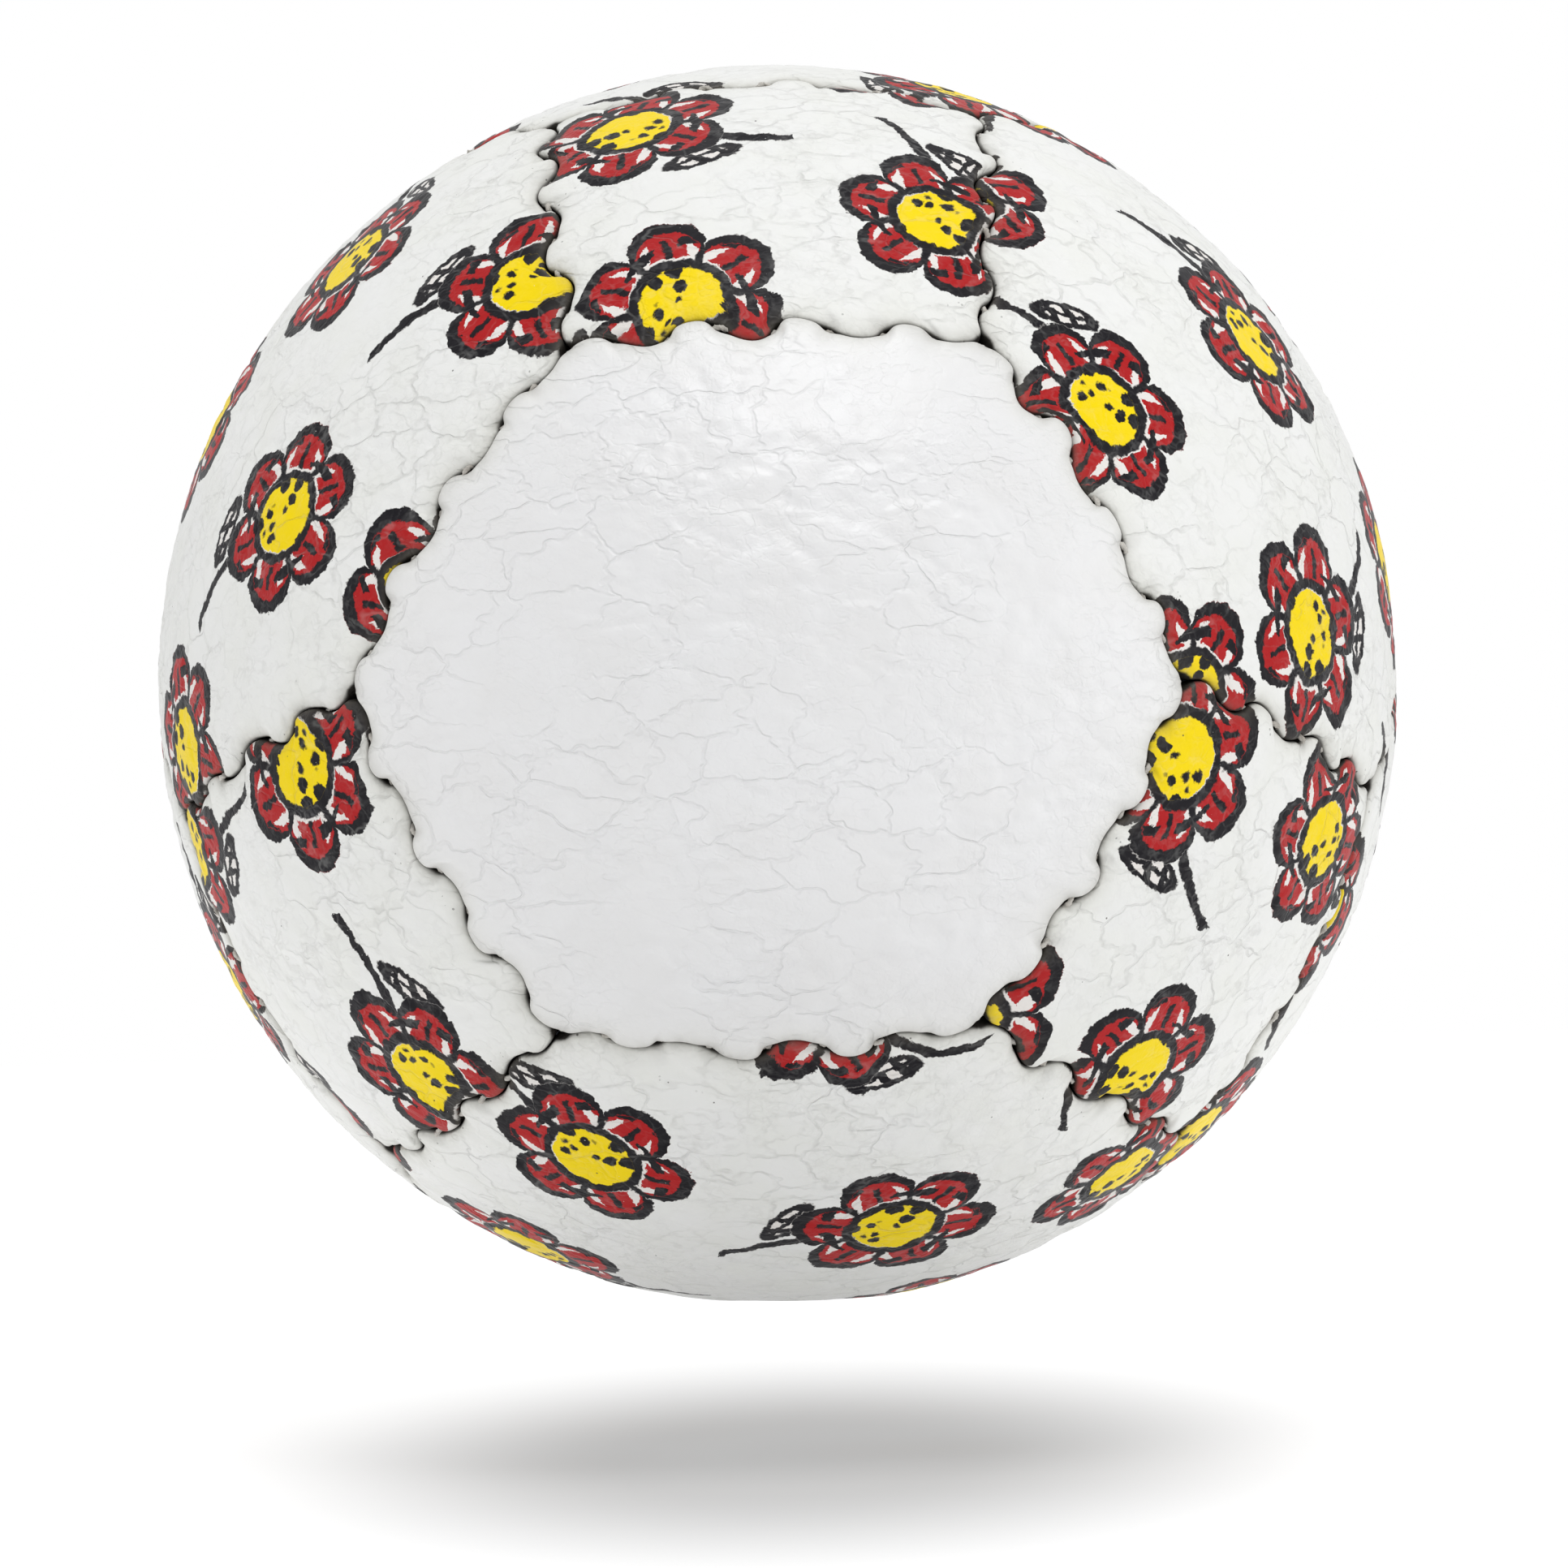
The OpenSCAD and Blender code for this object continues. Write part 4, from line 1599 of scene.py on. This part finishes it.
@dataclass(frozen=True)
class LeatherFinish:
    """Smooth white leather, plain or printed."""

    name: str
    printed: bool
    colour: Colour = (0.815, 0.817, 0.825)
    shade: Colour = (0.77, 0.765, 0.76)
    cream: Colour = (0.82, 0.82, 0.75)
    grime: Colour = (0.16, 0.145, 0.12)
    speck: Colour = (0.05, 0.045, 0.04)
    # A near-black painted shade for the seams' gaps, and how far it reaches onto the leather
    cut_edge: Colour = (0.03, 0.027, 0.023)
    edge_reach: float = 0.02
    roughness: float = 0.4
    coat: float = 0.15
    coat_roughness: float = 0.25
    specular: float = 0.4
    cloud_tint: float = 0.5
    cloud_roughness: float = 0.06
    crease_tint: float = 0.02
    grime_tint: float = 0.55
    grime_roughness: float = 0.2
    specks: float = 0.0
    rim_cream: float = 0.5
    cream_reach: float = 0.9
    crease_depth: float = 0.045
    fine_depth: float = 0.016
    pore: float = 0.2
    pore_depth: float = 0.005

    def material(self) -> bpy.types.Material:
        """Builds the material."""
        board = Surface(self.name)
        place = board.spot
        takes = {"Place": place, "Depth": self.crease_depth, "Fine Depth": self.fine_depth}
        creases = board.place(CreaseNetwork.group(), takes)
        takes = {"Place": place, "Pore": self.pore, "Depth": self.pore_depth}
        pores = board.place(PoreGrain.group(), takes)
        distance, notch = board.read("seam_distance"), board.read("seam_notch")
        takes = {"Place": place, "Distance": distance, "Notch": notch, "Specks": self.specks}
        grime = board.place(SeamDirtAndShade.group(), takes)
        cloud = pores["Cloud"]
        base = board.tint(cloud.ramp(-0.5, 0.6) * self.cloud_tint, self.colour, self.shade)
        base = board.tint(distance.fall(self.cream_reach) * self.rim_cream, base, self.cream)
        base = board.tint(creases["Lines"] * self.crease_tint, base, self.grime)
        if self.printed:
            sheet = board.made("ShaderNodeUVMap", uv_map="print_place") * PrintedFlowers.SHEET
            takes = {"Sheet Place": sheet, "Creases": creases["Lines"]}
            ink = board.place(PrintedFlowers.group(), takes)
            base = board.tint(ink["Cover"], base, ink["Ink"])
        # Dirt and painted shade near the seams, full in their walls
        base = board.tint(grime["Mask"] * self.grime_tint, base, self.grime)
        base = board.tint(grime["Speck"], base, self.speck)
        # The seam walls and the leather next to a stitch are painted near black: painted shade that
        # draws each seam's dark gap line
        edge = distance + cloud * 0.05 - notch * self.edge_reach
        base = board.tint(edge.ramp(-0.05, self.edge_reach, 1.0, 0.0), base, self.cut_edge)
        rough = cloud * self.cloud_roughness + self.roughness
        looks = {
            "Base Color": base,
            "Roughness": rough + grime["Mask"] * self.grime_roughness,
            "Specular IOR Level": self.specular,
            "Coat Weight": self.coat,
            "Coat Roughness": self.coat_roughness,
        }
        return board.dressed(looks, creases["Height"] + pores["Height"])


@dataclass(frozen=True)
class ThreadFinish:
    """Waxed thread, off-white and soiled."""

    name: str = "waxed_thread"
    clean: Colour = (0.78, 0.76, 0.71)
    soiled: Colour = (0.30, 0.27, 0.23)
    roughness: float = 0.65
    fibre_depth: float = 0.01

    def material(self) -> bpy.types.Material:
        """Builds the material."""
        board = Surface(self.name)
        takes = {"Place": board.spot, "Depth": self.fibre_depth}
        fibre = board.place(Fibre.group(), takes)
        base = board.tint(fibre["Share"], self.soiled, self.clean)
        return board.dressed({"Base Color": base, "Roughness": self.roughness}, fibre["Height"])


@dataclass(frozen=True)
class BagFinish:
    """Plain-woven cloth, grey blue."""

    name: str = "woven_cloth"
    warp: Colour = (0.42, 0.46, 0.55)
    weft: Colour = (0.50, 0.53, 0.60)
    fuzz: Colour = (0.3, 0.32, 0.38)
    fuzz_tint: float = 0.3
    yarn: float = 0.45
    yarn_depth: float = 0.05
    fibre_depth: float = 0.01
    roughness: float = 0.85

    def material(self) -> bpy.types.Material:
        """Builds the material."""
        board = Surface(self.name)
        takes = {"Place": board.spot, "Depth": self.fibre_depth}
        fibre = board.place(Fibre.group(), takes)
        x, y, z = (board.spot - (0.0, 0.0, BallSizes().centre_height)).parts()
        turn = board.math("ARCTAN2", y, x) * (BallSizes.bag_radius / self.yarn)
        climb = z * (math.pi / self.yarn)
        over = (turn.wave() * climb.wave()).over(0.0)
        ridge = board.blend(over, turn.wave("COSINE").size(), climb.wave("COSINE").size())
        base = board.tint(over, self.warp, self.weft)
        base = board.tint(fibre["Share"] * self.fuzz_tint, base, self.fuzz)
        looks = {"Base Color": base, "Roughness": self.roughness}
        return board.dressed(looks, ridge * self.yarn_depth + fibre["Height"])


@dataclass(frozen=True)
class GranuleFinish:
    """Rubber crumb, dark brown with paler pieces."""

    name: str = "rubber_crumb"
    dark: Colour = (0.10, 0.085, 0.07)
    pale: Colour = (0.30, 0.25, 0.19)
    dust: Colour = (0.04, 0.035, 0.03)
    dust_tint: float = 0.4
    lot_size: float = 1.4
    grain: float = 0.3
    grain_depth: float = 0.03
    roughness: float = 0.8

    def material(self) -> bpy.types.Material:
        """Builds the material."""
        board = Surface(self.name)
        takes = {"Place": board.spot, "Pore": self.grain, "Depth": self.grain_depth}
        grain = board.place(PoreGrain.group(), takes)
        lot = board.noise(board.spot, self.lot_size, 1.0)
        base = board.tint(lot.ramp(-0.3, 0.4), self.dark, self.pale)
        base = board.tint(grain["Cloud"].ramp(0.0, 0.6) * self.dust_tint, base, self.dust)
        return board.dressed({"Base Color": base, "Roughness": self.roughness}, grain["Height"])


@dataclass(frozen=True)
class Softbox:
    """One lamp: where it stands and its size, in mm, and its power in watts."""

    name: str
    place: tuple[float, float, float]
    size: tuple[float, float]
    power: float


@dataclass
class Studio:
    """The pale floor, the light tent and the camera."""

    sizes: BallSizes
    world_light: float = 0.71
    tent_slope: tuple[float, float, float] = (-0.02, 0.04, -0.06)
    tent_gloss: float = 0.8
    tent_opening: float = 0.1
    opening_edge: tuple[float, float] = (0.55, 0.93)
    floor_radius: float = 420.0
    floor_sides: int = 96
    floor_drop: float = 8.0
    floor_albedo: float = 0.3
    # The floor's glow inside and outside the painted shadow under the ball
    floor_glow: tuple[float, float] = (0.35, 0.8)
    # How much more of the floor's glow the ball sees: painted bounce light on its underside
    floor_bounce: float = 1.06
    shade_front: float = 6.0
    shade_squash: float = 0.47
    shade_reach: tuple[float, float] = (8.0, 32.0)
    boxes: tuple[Softbox, ...] = (
        Softbox("key_box", (50.0, -260.0, 430.0), (260.0, 200.0), 0.9),
        Softbox("right_box", (420.0, -200.0, 60.0), (200.0, 300.0), 0.36),
        Softbox("left_box", (-420.0, -160.0, 60.0), (200.0, 300.0), 0.14),
        Softbox("top_box", (0.0, 40.0, 520.0), (240.0, 420.0), 0.25),
    )
    azimuth: float = 1.2
    elevation: float = 0.57
    roll: float = -1.34
    distance: float = 468.0
    aim: tuple[float, float] = (0.2, -5.08)
    lens: float = 209.0
    sensor: float = 36.0

    @property
    def middle(self) -> Vector:
        """The ball's centre, in mm."""
        return Vector((0.0, 0.0, self.sizes.centre_height))

    def world(self) -> None:
        """An even white tent, which the camera sees as plain white."""
        world = bpy.data.worlds.new("light_tent")
        bpy.context.scene.world = world
        world.use_nodes = True
        board = Board(world.node_tree)
        rays = board.add("ShaderNodeLightPath")
        seen = board.out(rays, "Is Camera Ray").most(board.out(rays, "Is Transmission Ray"))
        x, y, z = board.out(board.add("ShaderNodeTexCoord"), "Generated").parts()
        right, back, up = self.tent_slope
        side = x * right + y * back + z * up + 1.0
        # The camera looks in through an opening, from which little light comes
        side = side * (-y).ramp(*self.opening_edge, 1.0, self.tent_opening)
        glossy = board.out(rays, "Is Glossy Ray")
        tent = side * board.blend(glossy, self.world_light, self.tent_gloss)
        shader = board.own("BACKGROUND")
        board.feed(shader.inputs["Color"], (1.0, 1.0, 1.0, 1.0))
        board.feed(shader.inputs["Strength"], board.blend(seen, tent, 1.0))

    def floor(self) -> None:
        """A round white floor, a little below the ball, with its real shadow and a painted one."""
        count = self.floor_sides
        ring = np.array([(math.cos(a), math.sin(a)) for a in np.arange(count) * TURN / count])
        points = np.c_[ring * self.floor_radius, np.full(count, -self.floor_drop)] * MM
        floor = new_object("studio_floor", points, [list(range(count))])
        board = Surface("white_sweep")
        x, y, _ = board.spot.parts()
        # The floor glows less in an ellipse under the ball: a painted shadow over the real one that
        # the lamps cast
        depth = (y + self.shade_front) * self.shade_squash
        away = (x * x + depth * depth).power(0.5)
        glow_and_painted_shadow = away.ramp(*self.shade_reach, *self.floor_glow)
        # Rays other than the camera's see the glow a little stronger: painted bounce light on the
        # ball's underside
        seen = board.out(board.add("ShaderNodeLightPath"), "Is Camera Ray")
        looks = {
            "Base Color": (*(self.floor_albedo,) * 3, 1.0),
            "Roughness": 1.0,
            "Specular IOR Level": 0.0,
            "Emission Color": (1.0, 1.0, 1.0, 1.0),
            "Emission Strength": glow_and_painted_shadow * board.blend(seen, self.floor_bounce, 1.0),
        }
        floor.data.materials.append(board.dressed(looks))
        # From below the floor is clear
        below = board.out(board.add("ShaderNodeNewGeometry"), "Backfacing")
        clear = board.made("ShaderNodeBsdfTransparent")
        takes = {0: below, 1: board.out(board.shader), 2: clear}
        mix = board.made("ShaderNodeMixShader", takes)
        board.feed(board.own("OUTPUT_MATERIAL").inputs["Surface"], mix)
        floor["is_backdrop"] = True

    def lamps(self) -> None:
        """The softboxes, each turned to the ball."""
        for box in self.boxes:
            light = bpy.data.lights.new(box.name, "AREA")
            light.shape = "RECTANGLE"
            light.size, light.size_y = (side * MM for side in box.size)
            light.energy = box.power
            lamp = to_scene(box.name, light)
            lamp.location = Vector(box.place) * MM
            ahead = self.middle * MM - lamp.location
            lamp.rotation_euler = ahead.to_track_quat("-Z", "Y").to_euler()

    def camera(self) -> None:
        """The camera, level with the ball and tipped a little about its own line of sight."""
        data = bpy.data.cameras.new("studio_camera")
        data.lens, data.sensor_width, data.clip_start = self.lens, self.sensor, 0.01
        turn, rise = math.radians(self.azimuth), math.radians(self.elevation)
        level = math.cos(rise)
        away = Vector((math.sin(turn) * level, -math.cos(turn) * level, math.sin(rise)))
        eye = self.middle + away * self.distance
        target = self.middle + Vector((self.aim[0], 0.0, self.aim[1]))
        back = (eye - target).normalized()
        right = Vector((0.0, 0.0, 1.0)).cross(back).normalized()
        right = Matrix.Rotation(math.radians(self.roll), 3, back) @ right
        matrix = Matrix((right, back.cross(right), back)).transposed().to_4x4()
        matrix.translation = eye * MM
        camera = to_scene("studio_camera", data)
        camera.matrix_world = matrix
        bpy.context.scene.camera = camera

    def build(self) -> None:
        """Sets the studio up."""
        self.world()
        self.floor()
        self.lamps()
        self.camera()
        bpy.context.scene.view_settings.view_transform = "Standard"


PLAIN_LEATHER = LeatherFinish("plain_leather", printed=False)
PRINTED_LEATHER = LeatherFinish(
    "printed_leather",
    printed=True,
    colour=(0.835, 0.84, 0.83),
    shade=(0.79, 0.80, 0.75),
    coat=0.02,
    specular=0.12,
    crease_tint=0.17,
    specks=0.8,
    edge_reach=0.1,
)


def main() -> None:
    """Builds the ball and its studio."""
    logging.basicConfig(level=logging.INFO, format="%(message)s")
    sizes = BallSizes()
    sewing = HandSewing(sizes)
    Studio(sizes).build()
    blank = (PLAIN_LEATHER.material(), "plain_leather")
    printed = (PRINTED_LEATHER.material(), "printed_leather")
    pieces = [
        *LeatherPanels(sizes, sewing).build(blank, printed),
        *SeamThreads(sizes, sewing).build(ThreadFinish().material(), "seam_thread"),
        InnerBag(sizes).build(BagFinish().material(), "woven_bag"),
        GranuleFill(sizes).build(GranuleFinish().material(), "granules"),
    ]
    for piece in pieces:
        LOG.info("%s: %d faces", piece.name, len(piece.data.polygons))
    boxes = {"cad": CAD_BOX, "visual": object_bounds()}
    {k: [[float(c) for c in corner] for corner in box] for k, box in boxes.items()}


if __name__ == "__main__":
    main()
